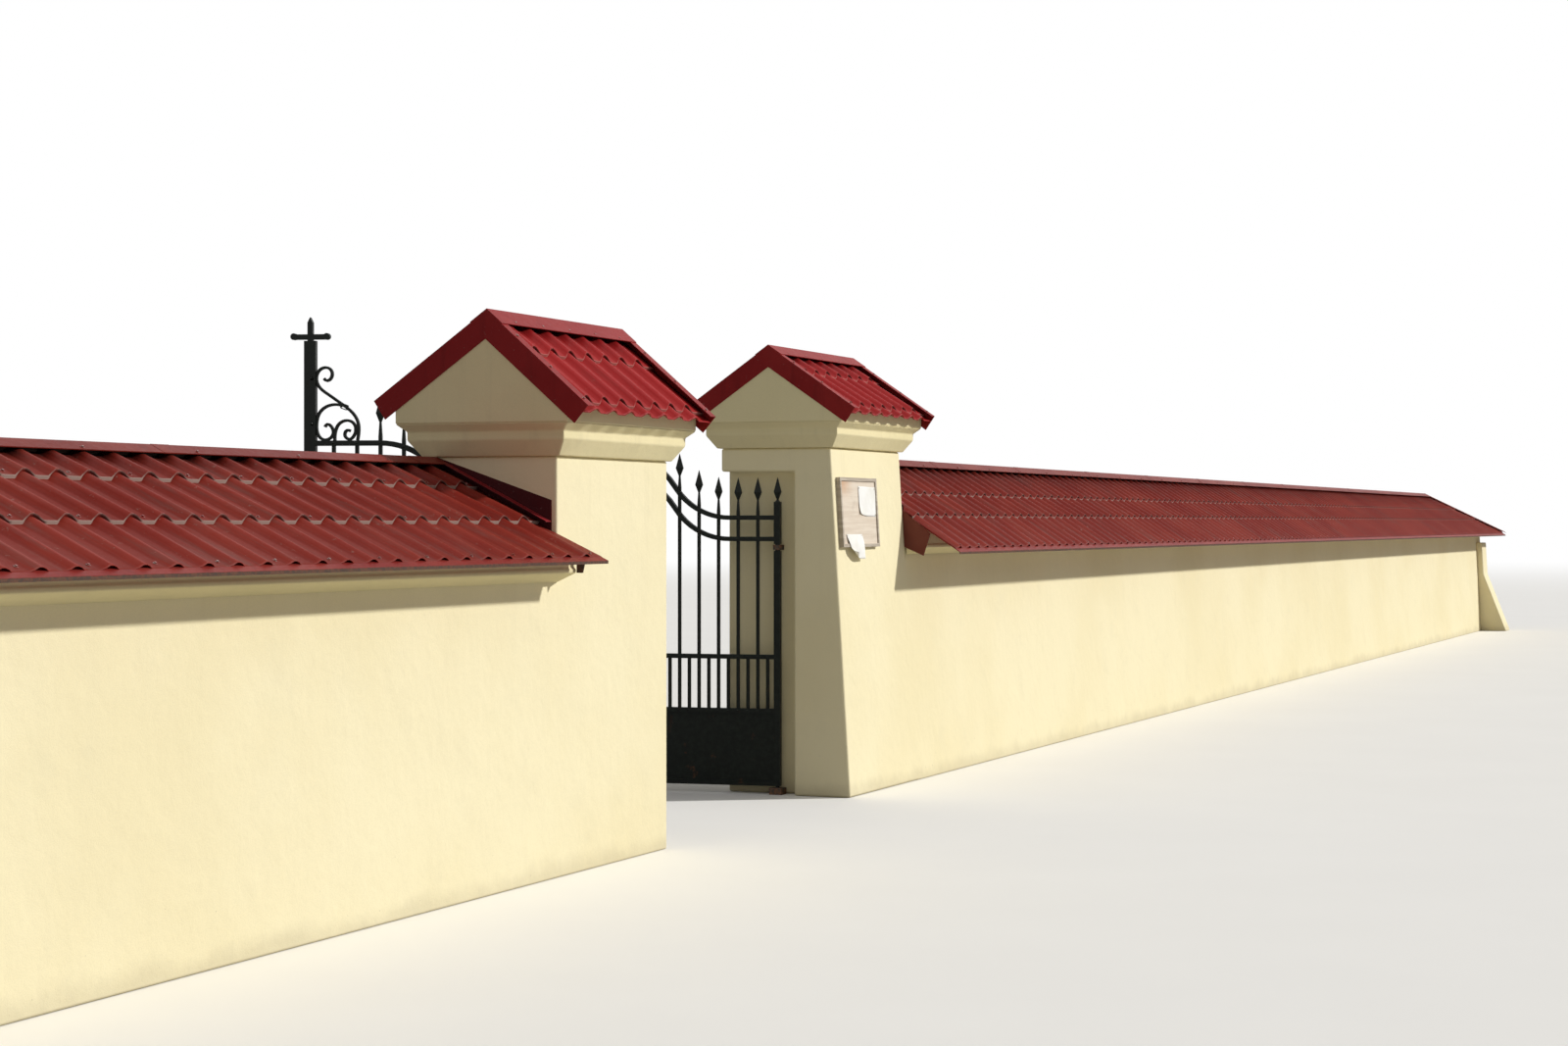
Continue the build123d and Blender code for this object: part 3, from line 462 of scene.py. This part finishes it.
def roof_sheet(node, coat, eave, along, up_run, width, rows, curl, cuts=()):
    """One slope's sheet, from the eave's corner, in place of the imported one. Rows are where its steps
    begin: how far up the first one is, how far apart they are and how many courses they make. Over a
    drip edge the valleys rest on its flange, and only the crests stay open."""
    on_flange = node.endswith(("wall_roof_front", "wall_roof_hip"))
    up = Vector(up_run)
    length = up.length - ridge_gap
    up.normalize()
    along = Vector(along)
    sizes = {
        "Width": width, "Length": length, "Wave Pitch": wave_pitch, "Wave Height": wave_height,
        "Tile Length": tile_length, "First": rows[0], "Course": rows[1], "Courses": rows[2],
        "Step": step, "Eave Lift": eave_lift, "Eave Rest": flange_rest if on_flange else 0.0,
        "Curl": curl, "Thickness": steel, "Waves": int(width // wave_pitch), "Wave Points": 10,
        "Eave": Vector(eave), "Along": along, "Up": up, "Out": along.cross(up), "Coat": coat,
    }
    piece = grown(node + "_waves", pressed, sizes)
    if cuts:
        shape = bmesh.new()
        shape.from_mesh(piece.data)
        for point, normal in cuts:
            cut(shape, point, normal, clear_outer=True)
        shape.to_mesh(piece.data)
        shape.free()
    piece.data.shade_smooth()
    piece.data.set_sharp_from_angle(angle=radians(42))
    shell = piece.modifiers.new("steel", "SOLIDIFY")
    shell.thickness = sheet_gauge
    shell.offset = -1
    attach(piece, "masonry")
    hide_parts(node)


left_end_x = -5.6
left_ridge, left_eave = (0.275, 1.865), (-0.555, 1.450)
right_ridge, right_eave = (0.245, 1.985), (-0.540, 1.445)
back_eave_y, back_drop = 0.525, 0.225
hip_top, hip_end, hip_gap = 28.15, 30.55, 0.004
wall_curl, pier_curl = 0.010, 0.026
front_hip = Vector((hip_end - hip_top, right_eave[0] - right_ridge[0], 0))
back_hip_run = (hip_end - hip_top) * back_drop / (right_ridge[1] - right_eave[1])
back_hip = Vector((back_hip_run, back_eave_y - right_ridge[0], 0))
front_normal = Vector((-front_hip.y, front_hip.x, 0)).normalized()
back_normal = Vector((back_hip.y, -back_hip.x, 0)).normalized()
before_hip, at_hip = (hip_top - hip_gap, right_ridge[0], 0), (hip_top, right_ridge[0], 0)
wall_roofs = (
    ("left", left_end_x, left_seam_x, left_ridge, left_eave, (0.350, 0.355, 3), (), ()),
    (
        "right", right_seam_x, hip_end, right_ridge, right_eave, (0.345, 0.255, 3),
        [(before_hip, front_normal)], [(before_hip, back_normal)],
    ),
)
for name, start, end, ridge, eave, rows, front_cuts, back_cuts in wall_roofs:
    front_run = (0, ridge[0] - eave[0], ridge[1] - eave[1])
    roof_sheet(
        name + "_wall_roof_front", old_sheet, (start, *eave), (1, 0, 0), front_run, end - start,
        rows, wall_curl, front_cuts,
    )
    roof_sheet(
        name + "_wall_roof_back", old_sheet, (end, back_eave_y, ridge[1] - back_drop), (-1, 0, 0),
        (0, ridge[0] - back_eave_y, back_drop), end - start, (tile_length, 0, 1), 0,
        back_cuts,
    )
roof_sheet(
    "right_wall_roof_hip", old_sheet, (hip_end, *right_eave), (0, 1, 0),
    (hip_top - hip_end, 0, right_ridge[1] - right_eave[1]), back_eave_y - right_eave[0],
    (tile_length, tile_length, 7), wall_curl,
    [(at_hip, -front_normal), (at_hip, -back_normal)],
)
pier_roof_half = 0.71
left_pier_x, right_pier_x = 0.0, 3.85
pier_roofs = (
    ("left", left_pier_x, (-0.032, 2.5285), (0.487, 0.4204), (0.561, 0.3870)),
    ("right", right_pier_x, (0.175, 2.6068), (0.522, 0.3561), (0.522, 0.3561)),
)
for name, x, ridge, front, back in pier_roofs:
    for side, where, (run, drop) in ((-1, "front", front), (1, "back", back)):
        corner = (x + side * pier_roof_half, ridge[0] + side * run, ridge[1] - drop)
        roof_sheet(
            name + "_pier_roof_" + where, new_sheet, corner, (-side, 0, 0), (0, -side * run, drop),
            2 * pier_roof_half, (0.060, tile_length, 3), pier_curl,
        )


# Bent trims: verge boards, ridge caps, drip edges and upstands, folded from flat coated sheet.
# The cut edges under the eaves have lost their paint and rusted.
def folded_steel(name, tone, faded, rust_below=None, upright=None):
    coat = Finish(name, **{"Specular IOR Level": 0.12})
    broad = coat.noise(2.1, 4)
    fine = coat.noise(55.0, 3, 0.6)
    colour = coat.mix(broad.between(0.35, 0.7), tone, faded)
    # A given upright colour goes on the faces that turn sideways along x: painted shade.
    if upright:
        turn = coat.node("ShaderNodeSeparateXYZ", (), {0: coat.node("ShaderNodeNewGeometry")[1]})[0]
        colour = coat.mix(turn.sum("ABSOLUTE", turn) > 0.7, colour, upright)
    runs = coat.noise(1.0, 4, 0.6, coat.stretched(18, 18, 1.6)).between(0.52, 0.72)
    colour = coat.mix(runs * 0.30, colour, [c * 0.4 for c in tone])
    colour = coat.mix(fine.between(0.66, 0.74) * 0.35, colour, (0.26, 0.17, 0.15))
    rough = 0.36 + fine * 0.25
    if rust_below:
        ragged = coat.z + (coat.noise(24.0, 4) - 0.5) * 0.006
        edge = ragged.between(rust_below + 0.002, rust_below - 0.002)
        rusty = coat.mix(coat.noise(70.0, 3).between(0.4, 0.6), (0.075, 0.052, 0.042), (0.13, 0.065, 0.045))
        colour = coat.mix(edge, colour, rusty)
        rough = rough + edge * 0.35
    normal = coat.bump(coat.noise(6.0, 2) * 0.003 + fine * 0.0004)
    return coat.wear(Base_Color=colour, Roughness=rough, Normal=normal)


def dress(node, material):
    """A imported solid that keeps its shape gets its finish."""
    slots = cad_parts[node].data.materials
    slots.clear()
    slots.append(material)


# The caps' and verges' crimson is the sheets' crimson made darker throughout: painted shade, for the verge
# boards' shaded sides.
crimson = folded_steel("crimson_cap", (0.23, 0.010, 0.011), (0.28, 0.018, 0.017))
# The upstands' and turned-up edges' sideways faces are painted a dark maroon: painted shade.
upstand = folded_steel("upstand", (0.20, 0.012, 0.016), (0.25, 0.020, 0.024), None, (0.060, 0.008, 0.010))
faded_cap = folded_steel("weathered_cap", (0.155, 0.014, 0.009), (0.20, 0.028, 0.019))
for name, rust_top in (("left", 1.4445), ("right", 1.4340)):
    drip_edge = folded_steel(name + "_drip_edge", (0.19, 0.016, 0.013), (0.24, 0.032, 0.024), rust_top)
    dress(name + "_pier_verges", crimson)
    dress(name + "_pier_ridge_cap", crimson)
    dress(name + "_wall_ridge_cap", faded_cap)
    dress(name + "_wall_flashing", upstand)
    dress(name + "_wall_eave_trim", drip_edge)
dress("right_wall_verge", folded_steel("verge_plate", (0.11, 0.016, 0.012), (0.16, 0.045, 0.032)))

# The ridge caps come in lengths of about 2 m. The end of each one laps over the next, and shows
# as a thin saddle on the cap.
cap_length = 1.97
lap_half, lap_rise = 0.06, 0.0012
laps = bmesh.new()
for name, x, end in (("left", -4.75, -0.8), ("right", 6.30, 27.9)):
    while x < end:
        lap = packed_shape(name + "_wall_ridge_cap")
        for side in (-1, 1):
            ring = cut(lap, (x + side * lap_half, 0, 0), (side, 0, 0), clear_outer=True)
            bmesh.ops.edgeloop_fill(lap, edges=ring)
        bmesh.ops.recalc_face_normals(lap, faces=lap.faces)
        for vertex in lap.verts:
            outward = vertex.normal.copy()
            outward.x = 0
            vertex.co += outward.normalized() * lap_rise
        saddle = bpy.data.meshes.new("saddle")
        lap.to_mesh(saddle)
        lap.free()
        laps.from_mesh(saddle)
        x += cap_length
kept_mesh("ridge_cap_laps", laps, faded_cap)


# Under the caps, a tarred board stands along each ridge and hip and closes the waves' ends. Beside
# each pier the sheet's edge is turned up against the plaster, behind the flashing.
def closing_prism(shape, outline, way):
    """Adds a solid to a shape: an outline of points, carried along a way."""
    near = [shape.verts.new(point) for point in outline]
    far = [shape.verts.new(Vector(point) + Vector(way)) for point in outline]
    faces = [shape.faces.new(near), shape.faces.new(far[::-1])]
    for n in range(len(outline)):
        faces.append(shape.faces.new([near[n], far[n], far[n - 1], near[n - 1]]))
    bmesh.ops.recalc_face_normals(shape, faces=faces)


board_half, board_foot, board_gap = 0.005, 0.004, 0.01
left_pier_ridge, right_pier_ridge = pier_roofs[0][2], pier_roofs[1][2]
right_head = (hip_top, *right_ridge)
back_hip_end = (hip_top + back_hip_run - 0.02, back_eave_y - 0.0025, right_ridge[1] - back_drop)
tarred = Finish("tarred_board", **{"Specular IOR Level": 0.2})
tar = tarred.noise(1.0, 4, 0.6, tarred.stretched(4, 60, 60))
tar_tone = tarred.mix(tar.between(0.35, 0.65), (0.020, 0.014, 0.011), (0.045, 0.032, 0.025))
tarred_wood = tarred.wear(Base_Color=tar_tone, Roughness=0.7 + tar * 0.2)
boards = bmesh.new()
ridges = [
    ((left_end_x + 2 * board_gap, *left_ridge), (left_seam_x - board_gap, *left_ridge), 0.042),
    ((right_seam_x + board_gap, *right_ridge), right_head, 0.042),
    (right_head, (hip_end - 0.02, right_eave[0] + 0.0065, right_eave[1]), 0.034),
    (right_head, back_hip_end, 0.034),
]
for x, pier_ridge in ((left_pier_x, left_pier_ridge), (right_pier_x, right_pier_ridge)):
    reach = pier_roof_half - board_gap
    ridges.append(((x - reach, *pier_ridge), (x + reach, *pier_ridge), 0.046))
for start, end, high in ridges:
    way = Vector(end) - Vector(start)
    side = Vector((-way.y, way.x, 0)).normalized() * board_half
    foot = Vector(start) - Vector((0, 0, board_foot))
    top = Vector(start) + Vector((0, 0, high))
    closing_prism(boards, [foot - side, foot + side, top + side, top - side], way)
kept_mesh("ridge_boards", boards, tarred_wood)

edge_steel, edge_foot, edge_top = 0.003, 0.003, 0.050
turned_up = bmesh.new()
for x, ridge, eave, front, back in (
    (left_seam_x - 0.0035, left_ridge, left_eave, -0.309, 0.333),
    (right_seam_x + 0.0005, right_ridge, right_eave, -0.205, 0.520),
):
    front_z = ridge[1] - (ridge[0] - front) * (ridge[1] - eave[1]) / (ridge[0] - eave[0])
    back_z = ridge[1] - (back - ridge[0]) * back_drop / (back_eave_y - ridge[0])
    line = [(front, front_z), ridge, (back, back_z)]
    outline = [(x, y, z + edge_foot) for y, z in line] + [(x, y, z + edge_top) for y, z in line[::-1]]
    closing_prism(turned_up, outline, (edge_steel, 0, 0))
kept_mesh("turned_up_edges", turned_up, upstand)


# Roofing screws with rubber-faced washers hold the sheets in their valleys, the ridge caps on the
# crests and the verge boards along the gables.
def stud_tree():
    """Nodes that stand a hexagon head on a round washer at each point, square to the sheet."""
    web, given = new_nodes(
        "studs",
        Float=["Washer Radius", "Washer Height", "Head Radius", "Head Height"],
        Int=["Washer Sides", "Head Sides"],
        Material=["Metal"],
    )
    parts = []
    for name, base in (("Washer", 0), ("Head", given["Washer Height"])):
        tall = given[name + " Height"]
        sockets = {"Vertices": given[name + " Sides"], "Radius": given[name + " Radius"], "Depth": tall}
        body = web.node("GeometryNodeMeshCylinder", {"fill_type": "NGON"}, sockets)[0]
        lift = web.node("ShaderNodeCombineXYZ", (), {2: tall / 2 + base})[0]
        parts.append(web.node("GeometryNodeTransform", (), {"Geometry": body, "Translation": lift})[0])
    stud = web.node("GeometryNodeJoinGeometry", (), {0: parts[0]})[0]
    web.nodes.links.new(parts[1].socket, stud.socket.node.inputs[0])
    way = web.node("GeometryNodeInputNamedAttribute", {"data_type": "FLOAT_VECTOR"}, {"Name": "out"})[0]
    turn = web.node("FunctionNodeAlignRotationToVector", {"axis": "Z"}, {"Vector": way})[0]
    sockets = {"Points": given["Geometry"], "Instance": stud, "Rotation": turn}
    placed = web.node("GeometryNodeInstanceOnPoints", (), sockets)[0]
    return end_nodes(web, placed, given["Metal"])


studs = stud_tree()


def stud_points(name, points):
    """A mesh of bare points, each with the way it faces."""
    mesh = bpy.data.meshes.new(name)
    mesh.from_pydata([p for p, _ in points], [], [])
    way = mesh.attributes.new("out", "FLOAT_VECTOR", "POINT")
    for place, (_, out) in enumerate(points):
        way.data[place].vector = out
    return mesh


def on_slope(x, ridge, eave_y, eave_z, down, out):
    """A point so far down a slope from its ridge and so far out from it, and the slope's normal."""
    run, drop = abs(eave_y - ridge[0]), ridge[1] - eave_z
    side = 1 if eave_y > ridge[0] else -1
    c, s = run / hypot(run, drop), drop / hypot(run, drop)
    normal = Vector((0, side * s, c))
    return Vector((x, ridge[0] + side * down * c, ridge[1] - down * s)) + normal * out, normal


valley, crest = 0.82, 0.23
above_step, cap_out = 0.035, 0.046
screws = []
for name, start, end, ridge, eave, rows, _, _ in wall_roofs:
    waves = int((end - start) // wave_pitch)
    first = start + (end - start - waves * wave_pitch) / 2
    for side, (eave_y, eave_z), starts in (
        (-1, eave, (0, rows[0], rows[0] + rows[1])),
        (1, (back_eave_y, ridge[1] - back_drop), (0,)),
    ):
        length = hypot(eave_y - ridge[0], ridge[1] - eave_z)
        in_wave = valley if side < 0 else 1 - valley
        for up in starts:
            down = length - up - above_step
            edge = hip_top + (down / length) * (hip_end - hip_top) * (1 if side < 0 else 0.4) - 0.15
            lift = step * 0.9 if up else 0.0103 if side < 0 else eave_lift
            for n in range(0, waves, 2):
                x = first + (n + in_wave) * wave_pitch
                if down > 0.12 and (name == "left" or x < edge):
                    screws.append(on_slope(x, ridge, eave_y, eave_z, down, steel + lift))
        x = first + crest * wave_pitch
        while x < (end if name == "left" else hip_top) - 0.1:
            screws.append(on_slope(x, ridge, eave_y, eave_z, 0.025, cap_out))
            x += 4 * wave_pitch
for _, x, ridge, front, back in pier_roofs:
    for side, (run, drop) in ((-1, front), (1, back)):
        eave_y, eave_z, length = ridge[0] + side * run, ridge[1] - drop, hypot(run, drop)
        for end in (-1, 1):
            for n in range(3):
                down = 0.15 + n * (length - 0.2) / 2
                screws.append(on_slope(x + end * 0.680, ridge, eave_y, eave_z, down, cap_out))
        for n in range(5):
            screws.append(on_slope(x - 0.55 + n * 0.275, ridge, eave_y, eave_z, 0.045, cap_out))
screw_zinc = Finish("screw_zinc", Roughness=0.38, Metallic=0.85)
painted = screw_zinc.noise(90.0).between(0.45, 0.65)
screw_metal = screw_zinc.wear(Base_Color=screw_zinc.mix(painted, (0.30, 0.07, 0.06), (0.42, 0.38, 0.35)))
screw_sizes = {
    "Washer Radius": 0.009, "Washer Height": 0.0015, "Head Radius": 0.0055, "Head Height": 0.0045,
    "Washer Sides": 10, "Head Sides": 6, "Metal": screw_metal,
}
heads = grown("roof_screws", studs, screw_sizes, stud_points("roof_screws", screws))
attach(heads, "masonry")

# The notice board on the right pier: a pale weathered panel in a thin frame, screwed to the plaster
# and leaning with it. Two blank sheets of paper are pinned to it, and one hangs over the bottom rim.
board_middle = Vector((3.62, -0.1982, 1.6775))
board_up = Vector((0, 0.0606, 0.9982))
board_out = Vector((0, -0.9982, 0.0606))
inside_rim_x, inside_rim_z = 0.29, 0.187
board = Finish("weathered_board")
lines = board.noise(1.0, 5, 0.6, board.stretched(3, 3, 60))
tone = board.mix(lines.between(0.35, 0.65), (0.66, 0.56, 0.45), (0.74, 0.65, 0.54))
tone = board.mix(board.noise(9.0, 4).between(0.55, 0.75) * 0.35, tone, (0.48, 0.40, 0.32))
stain_x = (board.x + (board.noise(18.0, 3) - 0.5) * 0.05).between(3.56, 3.34)
stain_z = (board.z + (board.noise(22.0, 3) - 0.5) * 0.05).between(1.74, 1.86)
tone = board.mix(stain_x * stain_z * 0.65, tone, (0.55, 0.27, 0.11))
aside = board.x.sum("ABSOLUTE", board.x - board_middle.x)
above = board.z.sum("ABSOLUTE", board.z - board_middle.z)
on_rim = aside.sum("MAXIMUM", aside > inside_rim_x, above > inside_rim_z)
rim_tone = board.mix(lines.between(0.4, 0.6), (0.40, 0.34, 0.27), (0.52, 0.46, 0.38))
tone = board.mix(on_rim, tone, rim_tone)
weathered = board.wear(Base_Color=tone, Normal=board.bump(lines * 0.0012), Roughness=0.66 + lines * 0.2)
dress("notice_board", weathered)

paper = Finish("notice_paper")
aged = paper.mix(paper.noise(6.0, 4).between(0.4, 0.75), (0.88, 0.88, 0.86), (0.80, 0.79, 0.74))
creased = paper.noise(14.0, 3)
paper_coat = paper.wear(
    Base_Color=aged, Normal=paper.bump(creased * 0.004), Roughness=0.72 + creased * 0.15
)
across, down = 24, 16
panel_face, rim_reached = 0.0222, 0.42
sheets = bmesh.new()
for corners, over_rim, curl in (
    (((-0.001, 0.158), (0.287, 0.153), (0.284, -0.026), (-0.004, -0.021)), 0.0, 0.010),
    (((-0.243, -0.131), (0.022, -0.131), (0.044, -0.278), (-0.160, -0.278)), 0.0085, 0.030),
):
    top_left, top_right, low_right, low_left = (Vector(corner) for corner in corners)
    rows = []
    for t in (n / down for n in range(down + 1)):
        row = []
        for s in (m / across for m in range(across + 1)):
            u, v = top_left.lerp(top_right, s).lerp(low_left.lerp(low_right, s), t)
            corner = max(0, t - s - 0.45) / 0.55
            slack = 0.003 * sin(pi * s) * sin(pi * t) + 0.0015 * sin(7 * s + 4 * t)
            out = panel_face + over_rim * min(1, t / rim_reached) + slack * min(1, 3 * t)
            place = board_middle + Vector((u + curl * corner ** 2, 0, 0))
            place += board_up * (v + curl * 1.4 * corner ** 2) + board_out * (out + curl * corner ** 1.7)
            row.append(sheets.verts.new(place))
        rows.append(row)
    for high, low in zip(rows, rows[1:]):
        for m in range(across):
            sheets.faces.new([high[m], low[m], low[m + 1], high[m + 1]])
papers = kept_mesh("papers", sheets, paper_coat, "notice_sheets")
papers.data.shade_smooth()
thin = papers.modifiers.new("thin", "SOLIDIFY")
thin.thickness = 0.0004
thin.offset = -1

pin = Finish("pin_metal", Metallic=0.9)
pin_tone = pin.mix(pin.noise(300.0).between(0.4, 0.6), (0.62, 0.58, 0.50), (0.42, 0.36, 0.27))
pin_metal = pin.wear(Base_Color=pin_tone, Roughness=0.30 + pin.noise(200.0) * 0.2)
pin_sizes = {
    "Washer Radius": 0.0050, "Washer Height": 0.0012, "Head Radius": 0.0034, "Head Height": 0.0010,
    "Washer Sides": 12, "Head Sides": 10, "Metal": pin_metal,
}
pin_points = []
for u, v in (
    (0.010, 0.147), (0.276, 0.143), (0.273, -0.015), (0.007, -0.010), (-0.228, -0.139), (0.010, -0.139),
):
    place = board_middle + Vector((u, 0, 0)) + board_up * v + board_out * (panel_face + 0.0003)
    pin_points.append((place, board_out))
pins = grown("drawing_pins", studs, pin_sizes, stud_points("drawing_pins", pin_points))
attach(pins, "masonry")

# The gate: two leaves of square wrought bars threaded through flat rails, sheeted below, with
# spear heads and scrolls, under many coats of a green-black paint that rust has begun to lift.
iron = Finish("gate_paint", **{"Specular IOR Level": 0.22})
brushed = iron.noise(30.0, 4, 0.6)
flaked = iron.noise(11.0, 5, 0.65).between(0.62, 0.70)
tone = iron.mix(brushed.between(0.35, 0.7), (0.0025, 0.0045, 0.0032), (0.007, 0.011, 0.008))
rust = iron.mix(iron.noise(80.0, 3).between(0.4, 0.6), (0.060, 0.024, 0.012), (0.10, 0.045, 0.020))
near_ground = iron.z.between(0.55, 0.05)
tone = iron.mix(flaked * (0.15 + near_ground * 0.5), tone, rust)
gloss = 0.36 + brushed * 0.16 + flaked * 0.25
relief = brushed * 0.0007 + iron.noise(5.0, 2) * 0.0015 - flaked * 0.0004
gate_paint = iron.wear(Base_Color=tone, Roughness=gloss, Normal=iron.bump(relief))
for part in ("frame", "bars", "panel", "scrolls"):
    dress("left_leaf_" + part, gate_paint)
    dress("right_leaf_" + part, gate_paint)
dress("left_leaf_cross", gate_paint)


# What the smith added by hand: the rails swell where a bar is threaded through them, the scrolls are
# held together by bands shrunk round them, and rivets with domed heads fix them to the post.
def forged_tree():
    """Nodes that place a swelling, a band or a rivet head at points, turned and sized by each point."""
    web, given = new_nodes(
        "forged", Float=["Band Length", "Band Width", "Band Steel", "Band Deep"], Material=["Paint"]
    )
    swelling = web.node("GeometryNodeMeshUVSphere", (), {"Segments": 12, "Rings": 6, "Radius": 1.0})[0]
    box = "GeometryNodeCurvePrimitiveQuadrilateral"
    loop = web.node(box, (), {0: given["Band Length"], 1: given["Band Width"]})[0]
    loop = web.node("GeometryNodeFilletCurve", {"mode": "POLY"}, {0: loop, "Count": 3, "Radius": 0.004})[0]
    bar = web.node(box, (), {0: given["Band Steel"], 1: given["Band Deep"]})[0]
    band = web.node("GeometryNodeCurveToMesh", (), {0: loop, 1: bar})[0]
    read = {}
    for name, data in (("kind", "FLOAT"), ("size", "FLOAT_VECTOR"), ("turn", "FLOAT_VECTOR")):
        read[name] = web.node("GeometryNodeInputNamedAttribute", {"data_type": data}, {"Name": name})[0]
    parts = []
    for shape, chosen in ((swelling, read["kind"] < 0.5), (band, read["kind"] > 0.5)):
        sockets = {"Points": given["Geometry"], "Selection": chosen, "Instance": shape}
        sockets.update({"Rotation": read["turn"], "Scale": read["size"]})
        parts.append(web.node("GeometryNodeInstanceOnPoints", (), sockets)[0])
    both = web.node("GeometryNodeJoinGeometry", (), {0: parts[0]})[0]
    web.nodes.links.new(parts[1].socket, both.socket.node.inputs[0])
    return end_nodes(web, both, given["Paint"], True)


forged = forged_tree()
bar_pitch, bars_per_leaf = 0.12216, 10
panel_rail, short_bar_rail, rail_spacing = 0.495, 0.817, 0.127
low_rail, high_rail, curve_start, curve_end = 1.647, 2.020, 0.300, 0.980
curve_half, curve_rise = (curve_end - curve_start) / 2, (high_rail - low_rail) / 2
curve_radius = (curve_half ** 2 + curve_rise ** 2) / (2 * curve_rise)
rail_top = high_rail + 0.0135
swelling_size = (0.0200, 0.0202, 0.0118)
hinge_y = 0.18
is_swelling, is_band = 0, 1


def rail_height(u):
    """The middle of the curved top rail, so far from the hinge."""
    u = min(max(u, curve_start), curve_end)
    if u < curve_start + curve_half:
        return low_rail + curve_radius - (curve_radius ** 2 - (u - curve_start) ** 2) ** 0.5
    return high_rail - curve_radius + (curve_radius ** 2 - (curve_end - u) ** 2) ** 0.5


for name, hinge_x, heading, post_face, rivet_reach in (
    ("left", 0.55, 104, 1.31325, 0.034),
    ("right", 3.30, 97, 1.32375, 0.0205),
):
    leaf_way = Vector((cos(radians(heading)), sin(radians(heading)), 0))
    upright = (0, 0, radians(heading))
    fittings = []
    for n in range(1, bars_per_leaf + 1):
        u = n * bar_pitch
        for z in (panel_rail, short_bar_rail, rail_height(u), rail_height(u) - rail_spacing):
            fittings.append((u, z, is_swelling, swelling_size, upright))
    for n in range(bars_per_leaf + 1):
        for z in (panel_rail, short_bar_rail):
            fittings.append(((n + 0.5) * bar_pitch, z, is_swelling, swelling_size, upright))
    for back, up, tilt in ((0.147, 0.171, 20), (0.213, 0.060, 92)):
        turned = (pi / 2, -radians(tilt), radians(heading))
        fittings.append((post_face - back, rail_top + up, is_band, (1, 1, 1), turned))
    for up in (0.085, 0.315):  # a rivet's head is a small swelling
        rivet = (0.011, rivet_reach, 0.011)
        fittings.append((post_face + 0.02, rail_top + up, is_swelling, rivet, upright))
    mesh = bpy.data.meshes.new(name + "_leaf_fittings")
    mesh.from_pydata([Vector((hinge_x, hinge_y, z)) + leaf_way * u for u, z, *_ in fittings], [], [])
    kind = mesh.attributes.new("kind", "FLOAT", "POINT")
    size = mesh.attributes.new("size", "FLOAT_VECTOR", "POINT")
    turn = mesh.attributes.new("turn", "FLOAT_VECTOR", "POINT")
    for place, (_, _, which, extent, angles) in enumerate(fittings):
        kind.data[place].value = which
        size.data[place].vector = extent
        turn.data[place].vector = angles
    band_sizes = {"Band Length": 0.034, "Band Width": 0.024, "Band Steel": 0.004, "Band Deep": 0.015}
    smithed = grown(name + "_leaf_fittings", forged, {**band_sizes, "Paint": gate_paint}, mesh)
    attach(smithed, name + "_leaf")

# The hinges: a socket let into the ground under each hinge stile, and a collar on a shank built into
# the pier round a turned part of the stile. The iron is worn bare and brown.
bare = Finish("hinge_metal", Metallic=0.6)
worn = bare.noise(40.0, 4)
tone = bare.mix(worn.between(0.4, 0.62), (0.06, 0.050, 0.042), (0.17, 0.085, 0.045))
hinge_metal = bare.wear(Base_Color=tone, Roughness=0.5 + worn * 0.3, Normal=bare.bump(worn * 0.0008))
dress("left_gate_hinges", hinge_metal)
dress("right_gate_hinges", hinge_metal)
